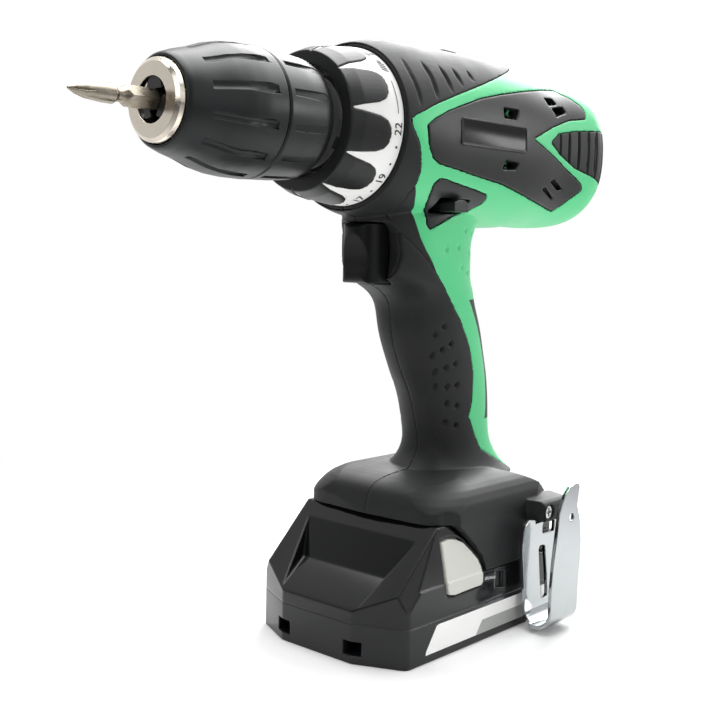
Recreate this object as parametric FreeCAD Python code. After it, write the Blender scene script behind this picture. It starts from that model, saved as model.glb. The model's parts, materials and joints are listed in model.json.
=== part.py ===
import FreeCAD, Part
import math
import os
from FreeCAD import Rotation, Vector

# Cordless hammer drill driver with a slide-on battery pack.
# Frame: the origin is the centre of the battery's flat underside, +Z is up and
# the chuck points along -X.  The operator's left side is -Y.  Millimetres.

os.makedirs("parts", exist_ok=True)

# --------------------------------------------------------------- driving sizes
AXIS_Z = 199.5              # height of the spindle above the surface it stands on
BARREL_FRONT = -47.6        # front face of the motor housing, behind the torque ring
BARREL_REAR = 101.0         # rear end of the motor housing
BARREL_HALF_Y = 33.4        # half width of the motor housing
BARREL_HALF_Z = 34.7        # half height of the motor housing
GRIP_X = 19.0               # fore and aft place of the waist of the grip
GRIP_HALF_Y = 17.2          # half width of the grip at its waist
FOOT_TOP = 64.5             # top of the foot that carries the battery
FOOT_EDGE = 50.0            # lower front edge of the foot
SKIRT_Z = 28.0              # lower edge of the foot's side skirts

COVER = 1.5                 # thickness of the soft overmould and of the inlaid panels
WALL = 3.8                  # whole wall of the housing, overmould included
SEAM = 0.25                 # open seam round each inlay
CLEAR = 0.35                # clearance between pieces that move past each other
FIT = 0.05                  # radial clearance of a running fit

BATTERY_LENGTH = 116.0
BATTERY_WIDTH = 76.0
BATTERY_SPLIT = 15.1        # height of the joint between the pack's two case halves
BATTERY_DECK = 44.0         # height of the pack's rear deck
BATTERY_CROWN = 49.4        # height of the pack's front block
BATTERY_WALL = 2.0
FRONT_FLAT = 18.3           # half width of the flat middle of the pack's front
FRONT_SETBACK = 9.1         # how far the front facets fall back to the sides
SLOPE_START = 20.0          # height at which the front starts to slope back
SLOPE_RATIO = 0.98          # rise of that slope for each unit of run
RAIL_HALF_Y = 33.4          # half width of the deck between the foot's skirts
CELL_R = 9.2
CELL_LENGTH = 65.0
CELL_COUNT = 5

MODULE = 0.9                # planetary gearing, two like stages
SUN_TEETH = 15
PLANET_TEETH = 12
RING_TEETH = SUN_TEETH + 2 * PLANET_TEETH
PRESSURE_ANGLE = 25.0
PLANETS = 3
GEAR_WIDTH = 9.0
GEARCASE_R = 26.0
RING_GEAR_R = 20.5
OUTPUT_PLATE_X = -41.0      # front face of the output carrier
MOTOR_R = 23.5
MOTOR_FRONT = 3.0
MOTOR_LENGTH = 67.0
SHAFT_R = 2.5

CHUCK_FRONT = -137.5        # nose face of the chuck
CHUCK_BODY_R = 18.9
CHUCK_BORE_R = 7.5
SLEEVE_R = 22.4             # largest radius of the gripping sleeve
SLEEVE_SPLIT = -98.0        # joint between the front and the rear sleeve
SLEEVE_REAR = -74.5
JAW_R = 3.6
JAW_ANGLE = 15.0            # slope of the jaws to the spindle
JAW_LENGTH = 30.0
GRIP_LOBES = 10             # pads round the sleeve, and lobes round the torque ring
BIT_FLATS = 6.35            # across the flats of the screwdriver bit
BIT_TIP = -168.0
BIT_LENGTH = 50.0

RING_FRONT = -71.0          # torque ring
RING_R = 29.7
RING_BORE = 25.2

TRIGGER_WIDTH = 17.0
TRIGGER_Z = 152.8           # middle of the trigger's height
TRIGGER_HEIGHT = 23.0
TRIGGER_FACE = -42.3        # foremost point of the trigger
TRIGGER_TRAVEL = 7.0
POCKET_FRONT = -31.5        # front edge of the housing beside the trigger
LEVER_Z = 171.8             # height of the reversing lever
LATCH_TRAVEL = 3.0
SHIFT_TRAVEL = 7.0
HOOK_SHEET = 1.5

X_AXIS = Vector(1, 0, 0)
UNDERSIDE = AXIS_Z - BARREL_HALF_Z
BATTERY_FRONT = -BATTERY_LENGTH / 2
BATTERY_REAR = BATTERY_LENGTH / 2
HALF_WIDTH = BATTERY_WIDTH / 2
FOOT_FRONT = BATTERY_FRONT + 27.0
FOOT_REAR = BATTERY_REAR + 2.0


# ------------------------------------------------------------------ primitives
def polygon(points):
    return Part.makePolygon(points + points[:1])


def rounded(points, radius):
    """Closed wire through the corner points, each corner rounded by an arc."""
    starts, mids, ends = [], [], []
    count = len(points)
    for i, corner in enumerate(points):
        back = (points[i - 1] - corner)
        ahead = (points[(i + 1) % count] - corner)
        half = back.getAngle(ahead) / 2
        reach = min(radius / math.tan(half), back.Length * 0.45, ahead.Length * 0.45)
        arc_r = reach * math.tan(half)
        start = corner + back.normalize() * reach
        end = corner + ahead.normalize() * reach
        bisector = (back + ahead).normalize()
        middle = corner + bisector * (arc_r / math.sin(half) - arc_r)
        starts.append(start)
        mids.append(middle)
        ends.append(end)
    edges = []
    for i in range(count):
        edges.append(Part.Arc(starts[i], mids[i], ends[i]).toShape())
        edges.append(Part.LineSegment(ends[i], starts[(i + 1) % count]).toShape())
    return Part.Wire(edges)


def side_outline(points, radius=0.0):
    """Closed wire in the X-Z plane from (x, z) corners."""
    corners = [Vector(x, 0, z) for x, z in points]
    return rounded(corners, radius) if radius else polygon(corners)


def side_prism(points, low_y, high_y, radius=0.0):
    """Solid from (x, z) corners, between two values of Y."""
    face = Part.Face(side_outline(points, radius))
    face.translate(Vector(0, low_y, 0))
    return face.extrude(Vector(0, high_y - low_y, 0))


def block(x0, x1, y0, y1, z0, z1):
    return Part.makeBox(x1 - x0, y1 - y0, z1 - z0, Vector(x0, y0, z0))


def turned(profile):
    """Solid of revolution round the spindle from (x, radius) corners."""
    wire = polygon([Vector(x, 0, AXIS_Z + r) for x, r in profile])
    return Part.Face(wire).revolve(Vector(0, 0, AXIS_Z), X_AXIS, 360)


def disc(x0, x1, outer, inner=0.0):
    return turned([(x0, inner), (x0, outer), (x1, outer), (x1, inner)])


def rod_y(x, z, radius, y0, y1):
    return Part.makeCylinder(radius, y1 - y0, Vector(x, y0, z), Vector(0, 1, 0))


def rod_z(x, y, radius, z0, z1):
    return Part.makeCylinder(radius, z1 - z0, Vector(x, y, z0), Vector(0, 0, 1))


def about_spindle(shape, degrees):
    turned_shape = shape.copy()
    turned_shape.rotate(Vector(0, 0, AXIS_Z), X_AXIS, degrees)
    return turned_shape


def mirrored(shape):
    """The same piece for the other side of the drill."""
    return shape.mirror(Vector(0, 0, 0), Vector(0, 1, 0))


def fused(shapes):
    return shapes[0].fuse(shapes[1:]) if len(shapes) > 1 else shapes[0]


def grouped(shapes):
    return Part.makeCompound(shapes)


def export(name, shape):
    shape.exportStep("parts/" + name + ".step")


# -------------------------------------------------- outer form of the motor body
def superellipse(half_u, half_v, power, count=20):
    points = []
    for i in range(count):
        angle = 2 * math.pi * i / count
        c = math.cos(angle)
        s = math.sin(angle)
        u = math.copysign(abs(c) ** (2 / power), c) * half_u
        v = math.copysign(abs(s) ** (2 / power), s) * half_v
        points.append((u, v))
    return points


def spacing_of(ring):
    """Running distance round a closed ring of points."""
    total = [0.0]
    for start, end in zip(ring, ring[1:] + ring[:1]):
        total.append(total[-1] + math.hypot(end[0] - start[0], end[1] - start[1]))
    return total


STATION_SPACING = spacing_of(superellipse(1.0, 1.0, 2.35))


def closed_spline(points):
    """Smooth closed wire; every station shares one spacing, so the lofts stay light."""
    curve = Part.BSplineCurve()
    curve.interpolate(Points=points, PeriodicFlag=True, Parameters=STATION_SPACING)
    return Part.Wire([curve.toShape()])


def barrel_station(x, wide, tall, sink, power, inset):
    """Section across the motor housing; wide and tall are shares of its half sizes."""
    half_y = BARREL_HALF_Y * wide - inset
    half_z = BARREL_HALF_Z * tall - inset
    ring = superellipse(half_y, half_z, power)
    return closed_spline([Vector(x, u, AXIS_Z - sink + v) for u, v in ring])


def barrel(inset):
    """The motor housing: rounder at the torque ring, boxier and closing in at the rear."""
    front = BARREL_FRONT
    rear = BARREL_REAR
    length = rear - front
    open_end = inset * 4 if inset else 0
    stations = [
        barrel_station(front - open_end, 0.928, 0.9, 0, 2.0, inset),
        barrel_station(front + 0.05 * length, 0.964, 0.951, 0, 2.1, inset),
        barrel_station(front + 0.185 * length, 0.988, 0.991, 0, 2.3, inset),
        barrel_station(front + 0.39 * length, 1.0, 1.0, 0, 2.45, inset),
        barrel_station(front + 0.62 * length, 1.0, 0.972, 0.8, 2.5, inset),
        barrel_station(front + 0.805 * length, 0.994, 0.945, 1.0, 2.6, inset),
        barrel_station(rear - 0.088 * length, 0.946, 0.895, 0.8, 2.5, inset),
        barrel_station(rear - 0.036 * length - inset * 0.6, 0.82, 0.775, 0.6, 2.4, inset),
        barrel_station(rear - inset, 0.56, 0.525, 0.4, 2.3, inset),
    ]
    return Part.makeLoft(stations, True, False, False)


def grip_station(z, front, rear, half_y, power, inset):
    """Section across the grip, from front to rear edge about the waist's middle."""
    middle = GRIP_X + (front + rear) / 2
    ring = superellipse((rear - front) / 2 - inset, half_y * GRIP_HALF_Y - inset, power)
    return closed_spline([Vector(middle + u, v, z) for u, v in ring])


def handle(inset):
    """The grip: flared into the foot, waisted, raked forward, full under the trigger."""
    low = FOOT_TOP - 4.5
    rise = (UNDERSIDE - FOOT_TOP) / 100.3
    stations = [
        grip_station(low, -28, 34, 1.42, 2.3, inset),
        grip_station(low + 3 * rise, -25, 30, 1.28, 2.3, inset),
        grip_station(low + 6.5 * rise, -21.5, 26.2, 1.14, 2.3, inset),
        grip_station(low + 11.5 * rise, -18, 22.3, 1.04, 2.3, inset),
        grip_station(low + 17 * rise, -17.6, 20.2, 0.985, 2.3, inset),
        grip_station(low + 24 * rise, -19.6, 20.1, 0.97, 2.25, inset),
        grip_station(low + 33 * rise, -22.8, 20.1, 0.97, 2.2, inset),
        grip_station(low + 46 * rise, -30, 18.4, 0.985, 2.15, inset),
        grip_station(low + 58 * rise, -35.6, 15, 1.005, 2.15, inset),
        grip_station(low + 66 * rise, -37.2, 11.2, 1.03, 2.2, inset),
        grip_station(low + 72.5 * rise, -38.4, 7.6, 1.06, 2.2, inset),
        grip_station(low + 77 * rise, -42, 5.8, 1.085, 2.25, inset),
        grip_station(low + 82 * rise, -52, 4.2, 1.115, 2.3, inset),
        grip_station(low + 88 * rise, -58.6, 3.6, 1.15, 2.3, inset),
        grip_station(low + 95 * rise, -59.8, 3.4, 1.16, 2.3, inset),
        grip_station(low + 102 * rise, -59.6, 5.5, 1.17, 2.25, inset),
        grip_station(low + 109 * rise, -59, 10, 1.18, 2.2, inset),
        grip_station(low + 116 * rise, -58, 15, 1.19, 2.2, inset),
    ]
    return Part.makeLoft(stations, True, False, False)


def shaped_face(curve_points, straight_points):
    """Face bounded by one smooth curve and the straight run that closes it."""
    curve = Part.BSplineCurve()
    curve.interpolate(curve_points)
    corners = [curve_points[-1]] + straight_points + [curve_points[0]]
    edges = [curve.toShape()]
    for start, end in zip(corners, corners[1:]):
        edges.append(Part.LineSegment(start, end).toShape())
    return Part.Face(Part.Wire(edges))


def crown(inset):
    """Limit of the foot's top: plan outlines that shrink and round off as they rise."""
    middle = (FOOT_FRONT + FOOT_REAR) / 2
    levels = [
        (10, 1.5, 0.8, 10), (44, 1.5, 0.8, 10), (50, 0.9, 0.5, 14), (53.5, 0.2, -0.1, 16), (56.5, -0.8, -1, 18),
        (59, -2.2, -2.3, 19.5), (61, -4, -4.1, 20), (62.7, -6.8, -6.8, 20), (64, -10.2, -10.2, 19),
        (65.2, -14.5, -14.5, 17), (67, -22, -22, 13),
    ]
    half_x = (FOOT_REAR - FOOT_FRONT) / 2
    rings = []
    for z, along, across_by, radius in levels:
        u = half_x + along - inset
        v = HALF_WIDTH + across_by - inset
        height = FOOT_TOP + z - 64.5 - inset
        corners = [Vector(middle + a * u, b * v, height) for a, b in ((-1, -1), (1, -1), (1, 1), (-1, 1))]
        rings.append(rounded(corners, radius))
    return Part.makeLoft(rings, True, True, False)


def foot(inset):
    """The foot that carries the battery: domed top, bowed front, round rear corners."""
    bottom = SKIRT_Z - (12 if inset else 0)
    front = FOOT_FRONT + inset
    rear = FOOT_REAR - inset
    top = FOOT_TOP - inset
    edge = FOOT_EDGE - inset
    wide = HALF_WIDTH - inset
    side = [
        (front, edge), (front + 1, top - 9.5), (front + 3.5, top - 4.6), (front + 9, top - 2.1),
        (front + 23, top - 0.5), (front + 43, top + 0.6), (rear - 33, top - 1.4), (rear - 23, top - 5.2),
        (rear - 13, top - 10), (rear - 5, top - 14.5), (rear - 0.8, edge - 5),
    ]
    side_curve = [Vector(x, -60, z) for x, z in side]
    side_rest = [Vector(rear, -60, bottom), Vector(front, -60, bottom)]
    from_side = shaped_face(side_curve, side_rest).extrude(Vector(0, 120, 0))
    half = [
        (wide, edge), (wide - 0.6, top - 9.5), (wide - 2.4, top - 5), (wide - 7, top - 1.8),
        (wide - 18, top + 0.4), (0, top + 2),
    ]
    across = half + [(-y, z) for y, z in reversed(half[:-1])]
    end_curve = [Vector(-80, y, z) for y, z in across]
    end_rest = [Vector(-80, -wide, bottom), Vector(-80, wide, bottom)]
    from_end = shaped_face(end_curve, end_rest).extrude(Vector(160, 0, 0))
    bow = [(7, 0.895), (3.6, 0.84), (0.9, 0.53), (0, 0), (0.9, -0.53), (3.6, -0.84), (7, -0.895)]
    nose = [Vector(front + x, wide * y, 0) for x, y in bow]
    far = rear - front
    corner = 25.0
    slant = corner * 0.293
    right = [
        Vector(front + 13, -wide, 0), Vector(rear - corner, -wide, 0),
        Vector(rear - slant, -wide + slant, 0), Vector(rear, -wide + corner, 0),
    ]
    left = [Vector(v.x, -v.y, 0) for v in reversed(right)]
    from_top = shaped_face(nose, right + left).extrude(Vector(0, 0, far * 2))
    return from_side.common(from_end).common(from_top).common(crown(inset))


def body(inset):
    """Whole outer form, or the same form set inwards."""
    return fused([barrel(inset), handle(inset), foot(inset)])


# --------------------------------------------------------------- side outlines
def hull_x(share):
    """X at a share of the housing's length, from the torque ring to the rear."""
    return BARREL_FRONT + share * (BARREL_REAR - BARREL_FRONT)


def on_side(points):
    """Outline on the housing's side, given as shares of its length and half height."""
    return [(hull_x(u), AXIS_Z + v * BARREL_HALF_Z) for u, v in points]


SPINE_LINE = [      # front edge of the hard spine, where the soft cover ends
    (0.668, 1.1), (0.668, 0.985), (0.556, 0.905), (0.435, 0.735), (0.307, 0.545), (0.199, 0.39),
    (0.105, 0.245), (0.024, 0.088), (0.007, 0.035), (0.016, -0.05), (0.038, -0.167),
    (0.054, -0.314), (0.069, -0.461), (0.075, -0.62), (0.071, -0.706), (0.075, -0.85), (0.095, -1.05),
    (0.145, -1.254), (0.206, -1.47), (0.266, -1.7), (0.32, -1.945), (0.354, -2.104), (0.388, -2.305),
    (0.415, -2.522), (0.428, -2.723), (0.431, -2.911), (0.428, -3.098), (0.418, -3.271),
]
PANEL_LINE = [      # the large inlaid side panel
    (0.065, 0.0), (0.088, 0.066), (0.145, 0.179), (0.199, 0.256), (0.283, 0.375), (0.386, 0.475),
    (0.495, 0.562), (0.616, 0.648), (0.701, 0.692), (0.724, 0.669), (0.767, 0.62), (0.805, 0.542),
    (0.816, 0.47), (0.808, 0.389), (0.722, 0.337), (0.618, 0.207), (0.515, 0.029), (0.643, -0.159),
    (0.796, -0.418), (0.81, -0.493), (0.765, -0.62), (0.729, -0.769), (0.592, -0.677), (0.406, -0.519),
    (0.307, -0.47), (0.213, -0.418), (0.125, -0.372), (0.098, -0.32), (0.074, -0.193),
]
PAD_LINE = [        # the ribbed inlay at the rear
    (0.613, 0.023), (0.657, 0.141), (0.771, 0.216), (0.886, 0.259), (0.985, 0.274),
    (0.985, -0.447), (0.882, -0.337), (0.751, -0.236), (0.657, -0.081),
]
BEZEL_LINE = [      # the recess for the reversing lever
    (0.146, -0.522), (0.132, -0.589), (0.142, -0.702), (0.153, -0.785), (0.178, -0.878), (0.183, -1.02),
    (0.194, -1.068), (0.205, -1.05), (0.25, -0.966), (0.291, -0.892), (0.339, -0.838), (0.371, -0.737),
    (0.369, -0.675), (0.36, -0.644), (0.277, -0.591), (0.208, -0.554), (0.173, -0.526),
]
LOUVRES = [         # cooling slots through the side panel
    [(0.6, 0.548), (0.655, 0.562), (0.67, 0.496), (0.615, 0.458)],
    [(0.628, 0.435), (0.699, 0.487), (0.711, 0.418), (0.65, 0.34)],
    [(0.598, -0.533), (0.618, -0.504), (0.699, -0.64), (0.675, -0.634)],
    [(0.632, -0.438), (0.652, -0.398), (0.721, -0.513), (0.685, -0.522)],
    [(0.382, 0.207), (0.382, 0.331), (0.452, 0.331), (0.437, 0.207)],
    [(0.388, -0.36), (0.395, -0.25), (0.459, -0.27), (0.445, -0.35)],
]


def across(outline, depth=90.0):
    """Prism through the whole housing from a side outline."""
    return side_prism(outline, -depth, depth)


def grown(outline, margin):
    """The outline moved outwards (or inwards, if negative) by a margin."""
    wire = side_outline(outline)
    wider = wire.makeOffset2D(margin, 2)
    return [(v.X, v.Z) for v in wider.OrderedVertexes]


spine_front = on_side(SPINE_LINE)
cover_low = [
    (GRIP_X + 3, FOOT_TOP + 7), (GRIP_X + 11, FOOT_TOP + 3), (GRIP_X + 21, FOOT_TOP - 1.5),
    (FOOT_REAR - 10, FOOT_TOP - 4.5), (FOOT_REAR + 20, FOOT_TOP - 5), (FOOT_REAR + 20, 0),
    (BATTERY_FRONT - 20, 0), (BATTERY_FRONT - 20, AXIS_Z + 60), (spine_front[0][0], AXIS_Z + 60),
]
panel_outline = on_side(PANEL_LINE)
pad_outline = on_side(PAD_LINE)
bezel_outline = on_side(BEZEL_LINE)

# the drill is alike on both sides, so the near half is shaped and then mirrored
near_side = block(-300, 300, -100, 0, -50, 400)
outer = body(0).common(near_side)
under_cover = body(COVER).common(near_side)
cavity = body(WALL).common(near_side)
skin = outer.cut(under_cover)

# ------------------------------------------------------------------- the openings
battery_path = side_prism([
    (BATTERY_FRONT - 40, -10), (BATTERY_FRONT - 40, FOOT_EDGE), (-20.4, FOOT_EDGE), (-15.4, FOOT_EDGE - 3.6),
    (-7.1, FOOT_EDGE - 11), (-3, FOOT_EDGE - 15.2), (-0.8, FOOT_EDGE - 19.5), (-0.2, SKIRT_Z), (-0.2, -10),
], -60, 60)
deck_path = block(BATTERY_FRONT - 40, BATTERY_REAR, -RAIL_HALF_Y - CLEAR, RAIL_HALF_Y + CLEAR,
                  -10, BATTERY_DECK + CLEAR)
trigger_low = TRIGGER_Z - TRIGGER_HEIGHT / 2 - CLEAR
trigger_high = TRIGGER_Z + TRIGGER_HEIGHT / 2 + CLEAR
trigger_mouth = side_prism([
    (POCKET_FRONT - 50, trigger_low), (POCKET_FRONT - 3, trigger_low), (POCKET_FRONT, trigger_low + 3),
    (POCKET_FRONT + 1, TRIGGER_Z), (POCKET_FRONT, trigger_high - 3), (POCKET_FRONT - 3, trigger_high),
    (POCKET_FRONT - 50, trigger_high),
], -60, 60)
trigger_slot_y = TRIGGER_WIDTH / 2 + CLEAR
trigger_slot = block(POCKET_FRONT - 50, POCKET_FRONT + 14, -trigger_slot_y, trigger_slot_y,
                     trigger_low, trigger_high)

LEVER_X = -10.5
LEVER_HALF = 4.5
LEVER_SWING = 8.0
lever_reach = 28.0 * math.sin(math.radians(LEVER_SWING)) + 0.6
lever_slot = block(LEVER_X - LEVER_HALF - lever_reach, LEVER_X + LEVER_HALF + lever_reach, -60, 60,
                   LEVER_Z - 2.9, LEVER_Z + 2.8)
KNOB_X0 = -4.0
KNOB_X1 = 13.0
KNOB_HALF_Y = 7.5
knob_slot = block(KNOB_X0 - CLEAR, KNOB_X1 + SHIFT_TRAVEL + CLEAR, -KNOB_HALF_Y - CLEAR, KNOB_HALF_Y + CLEAR,
                  AXIS_Z + 20, AXIS_Z + 60)
louvres = [across(on_side(outline)) for outline in LOUVRES]
# only the louvres open into the housing
openings = [battery_path, deck_path, trigger_mouth, lever_slot, knob_slot]

# --------------------------------------------------- soft cover, panels and pads
black_region = across(spine_front + cover_low)
palm_pad = side_prism([
    (GRIP_X + 5, FOOT_TOP + 24.5), (GRIP_X + 60, FOOT_TOP + 24.5), (GRIP_X + 60, FOOT_TOP + 70.5),
    (GRIP_X - 5, FOOT_TOP + 70.5),
], -11, 11)
palm_pad_seat = side_prism([
    (GRIP_X + 5, FOOT_TOP + 24.5 - SEAM), (GRIP_X + 60, FOOT_TOP + 24.5 - SEAM),
    (GRIP_X + 60, FOOT_TOP + 70.5 + SEAM), (GRIP_X - 5, FOOT_TOP + 70.5 + SEAM),
], -11 - SEAM, 11 + SEAM)

# hook lugs at the rear of the foot, one on each side
LUG_X0 = 27.0
LUG_X1 = 52.0
LUG_Z0 = 44.0
LUG_Z1 = 52.5
LUG_OUT = 8.0
HOOK_Y = HALF_WIDTH + 3.7
HOOK_SCREW_X = 33.0
HOOK_SCREW_Z = 47.6
HOOK_SCREW_R = 1.5
lug_plan = [
    Vector(LUG_X0, -HALF_WIDTH + 1, LUG_Z0), Vector(LUG_X0 + 2, -HALF_WIDTH - LUG_OUT, LUG_Z0),
    Vector(LUG_X1 - 6, -HALF_WIDTH - LUG_OUT, LUG_Z0), Vector(LUG_X1, -HALF_WIDTH + 5, LUG_Z0),
    Vector(LUG_X0 + 8, -HALF_WIDTH + 3.5, LUG_Z0),
]
lug_end = [
    Vector(0, -30, LUG_Z0), Vector(0, -HALF_WIDTH - LUG_OUT, LUG_Z0), Vector(0, -HALF_WIDTH - LUG_OUT, LUG_Z1 - 2.4),
    Vector(0, -HALF_WIDTH - LUG_OUT + 0.8, LUG_Z1 - 0.9), Vector(0, -HALF_WIDTH - LUG_OUT + 2.4, LUG_Z1),
    Vector(0, -30, LUG_Z1),
]
lug = Part.Face(rounded(lug_plan, 1.6)).extrude(Vector(0, 0, LUG_Z1 - LUG_Z0))
lug = lug.common(Part.Face(polygon(lug_end)).extrude(Vector(90, 0, 0)))
hook_slot = block(LUG_X0 + 3.2, LUG_X0 + 17.8, -HOOK_Y - HOOK_SHEET - 0.2, -HOOK_Y + 0.2, LUG_Z0 - 1, LUG_Z1 - 1.6)
hook_screw_hole = rod_y(HOOK_SCREW_X, HOOK_SCREW_Z, HOOK_SCREW_R + FIT, -HALF_WIDTH - 20, -HALF_WIDTH + 8)
hook_head_hole = rod_y(HOOK_SCREW_X, HOOK_SCREW_Z, 2.9, -HALF_WIDTH - 20, -HOOK_Y - 1)
lug = lug.cut([under_cover, hook_slot, hook_screw_hole, hook_head_hole])

cover = skin.common(black_region).cut(openings + [across(bezel_outline), trigger_slot])
pad_back = skin.common(palm_pad).cut(black_region)

# housing screws pass through from the right-hand side into posts of the left half
SCREW_R = 1.5
SCREW_HEAD_R = 3.0
screw_places = [
    (GRIP_X, FOOT_TOP + 20), (GRIP_X - 12, FOOT_TOP + 62),
    (BARREL_REAR - 14, AXIS_Z + 14), (BARREL_REAR - 14, AXIS_Z - 14),
    (FOOT_REAR - 22, FOOT_TOP - 11), (FOOT_FRONT + 22, FOOT_TOP - 8.5),
]
posts_left = [rod_y(x, z, 3.4, -60, 0) for x, z in screw_places]
far_posts = [rod_y(x, z, SCREW_HEAD_R + 1.5, -60, 0) for x, z in screw_places]
pilots = [rod_y(x, z, SCREW_R + FIT, -9, 1) for x, z in screw_places]
far_pilots = [rod_y(x, z, SCREW_R + FIT, -7, 1) for x, z in screw_places]
head_wells = [rod_y(x, z, SCREW_HEAD_R + 0.3, -70, -6) for x, z in screw_places]

# ribs that cradle the gearcase and the motor
gearcase_ribs = [disc(x, x + 2, BARREL_HALF_Y + 5, GEARCASE_R + 0.1) for x in (-32, -6)]
motor_ribs = [disc(x, x + 2, BARREL_HALF_Y + 5, MOTOR_R + 0.1) for x in (16, 62)]
rib_gap = block(BARREL_FRONT, BARREL_REAR, -10, 10, AXIS_Z + 5, AXIS_Z + 60)
low_gap = block(BARREL_FRONT, 40, -60, 60, AXIS_Z - 60, AXIS_Z - GEARCASE_R + 2)
ribs = [rib.common(cavity).cut([rib_gap, low_gap]) for rib in gearcase_ribs + motor_ribs]

# front wall beside the trigger, and the floor over the battery's deck
mouth_wall = block(POCKET_FRONT - 8, POCKET_FRONT + 4, -60, 60, trigger_low - 2, trigger_high + 2)
floor = block(FOOT_FRONT, FOOT_REAR, -60, 60, BATTERY_DECK + CLEAR, BATTERY_DECK + CLEAR + 2)
front_floor = block(FOOT_FRONT, 0, -60, 60, FOOT_EDGE, FOOT_EDGE + 2)
TERMINAL_X0 = 8.0
TERMINAL_X1 = 30.0
TERMINAL_HALF_Y = 15.0
terminal_hole = block(TERMINAL_X0 - 0.2, TERMINAL_X1 + 0.2, -TERMINAL_HALF_Y - 0.2, TERMINAL_HALF_Y + 0.2, 0,
                      BATTERY_DECK + 5)
RAIL_Z0 = 34.2
RAIL_Z1 = 37.8
rail = block(4, FOOT_REAR - 3, RAIL_HALF_Y - 2.2, HALF_WIDTH - 2, RAIL_Z0, RAIL_Z1)
walls = [w.common(under_cover) for w in (mouth_wall, floor, front_floor)]
hollow = cavity.cut(walls)

openings_near = [trigger_slot, terminal_hole] + louvres + openings
black_skin = skin.common(black_region)
inlays = [black_skin, across(grown(panel_outline, SEAM)).common(skin),
          across(grown(pad_outline, SEAM)).common(skin), across(bezel_outline).common(skin),
          palm_pad_seat.common(skin)]
shell = outer.cut(hollow)
for inlay in inlays:
    shell = shell.cut(inlay)
shell = shell.cut(openings_near)
shell = shell.fuse(ribs + [rail])
near_posts = [post.common(under_cover) for post in posts_left]
far_posts = [post.common(under_cover) for post in far_posts]
housing_left = shell.fuse(near_posts).cut(pilots + [hook_screw_hole])
housing_right = mirrored(shell.fuse(far_posts).cut(far_pilots + head_wells + [hook_screw_hole]))


def largest(shape):
    """The piece itself, without slivers left at the seams."""
    solids = sorted(shape.Solids, key=lambda solid: solid.Volume)
    return solids[-1]


def larger_than(shape, volume):
    return grouped([solid for solid in shape.Solids if solid.Volume > volume])


export("housing_left", largest(housing_left))
export("housing_right", largest(housing_right))

grip = cover.fuse(lug).cut([hook_screw_hole])
grip_far = grip.cut(head_wells)
pad_far = pad_back.cut(head_wells)
export("grip_left", larger_than(grouped(grip.Solids + pad_back.Solids), 20))
export("grip_right", mirrored(larger_than(grouped(grip_far.Solids + pad_far.Solids), 20)))

panel = largest(across(panel_outline).common(skin).cut(louvres))
export("side_panel_left", panel)
export("side_panel_right", mirrored(panel))

pad = across(pad_outline).common(skin)
RIB_PITCH = 7.5
groove_floor = body(COVER * 0.5)
for i in range(6):
    x = hull_x(0.66) + RIB_PITCH * i
    groove = block(x, x + 1.6, -60, 0, AXIS_Z - 40, AXIS_Z + 40)
    pad = pad.cut(groove.cut(groove_floor))
pad = largest(pad)
export("rear_pad_left", pad)
export("rear_pad_right", mirrored(pad))

bezel = largest(across(grown(bezel_outline, -SEAM)).common(skin).cut(lever_slot))
export("lever_bezels", grouped([bezel, mirrored(bezel)]))

housing_screws = []
for x, z in screw_places:
    head = rod_y(x, z, SCREW_HEAD_R, 6, 8.2)
    recess = Part.makeBox(1.0, 1.4, 4.0, Vector(x - 0.5, 7.0, z - 2.0))
    cross = Part.makeBox(4.0, 1.4, 1.0, Vector(x - 2.0, 7.0, z - 0.5))
    shank = rod_y(x, z, SCREW_R, -8.6, 6)
    housing_screws.append(head.fuse(shank).cut([recess, cross]))
export("housing_screws", grouped(housing_screws))

# ------------------------------------------------------------- planetary gearing
def involute(angle):
    return math.tan(angle) - angle


def gear_outline(teeth, addendum, dedendum, slack, phase):
    """Involute gear outline as (y, z) points; slack thins each tooth at the pitch circle."""
    pitch_r = MODULE * teeth / 2
    base_r = pitch_r * math.cos(math.radians(PRESSURE_ANGLE))
    root_r = pitch_r - dedendum * MODULE
    tip_r = pitch_r + addendum * MODULE
    half_tooth = math.pi / (2 * teeth) - slack / (2 * pitch_r) + involute(math.radians(PRESSURE_ANGLE))
    start_r = max(root_r, base_r)
    flank = []
    for i in range(5):
        r = start_r + (tip_r - start_r) * i / 4
        flank.append((r, half_tooth - involute(math.acos(min(1.0, base_r / r)))))
    if root_r < start_r:
        flank = [(root_r, flank[0][1])] + flank
    outline = []
    for tooth in range(teeth):
        middle = phase + 2 * math.pi * tooth / teeth
        for r, turn in flank:
            outline.append((r * math.cos(middle - turn), r * math.sin(middle - turn)))
        for r, turn in reversed(flank):
            outline.append((r * math.cos(middle + turn), r * math.sin(middle + turn)))
    return outline


def gear(teeth, x0, width, addendum, dedendum, slack, phase, centre=(0.0, 0.0)):
    outline = gear_outline(teeth, addendum, dedendum, slack, phase)
    wire = polygon([Vector(x0, centre[0] + y, AXIS_Z + centre[1] + z) for y, z in outline])
    return Part.Face(wire).extrude(Vector(width, 0, 0))


def rod_x(x0, x1, radius, centre=(0.0, 0.0)):
    return Part.makeCylinder(radius, x1 - x0, Vector(x0, centre[0], AXIS_Z + centre[1]), X_AXIS)


GEAR_SLACK = 0.12
CENTRE_DISTANCE = MODULE * (SUN_TEETH + PLANET_TEETH) / 2 + 0.02
PIN_R = 2.0
CARRIER_R = 16.2
PLATE = 4.2
STEP = 0.35
planet_angles = [2 * math.pi * k / PLANETS for k in range(PLANETS)]
planet_centres = [(CENTRE_DISTANCE * math.cos(a), CENTRE_DISTANCE * math.sin(a)) for a in planet_angles]

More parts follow.
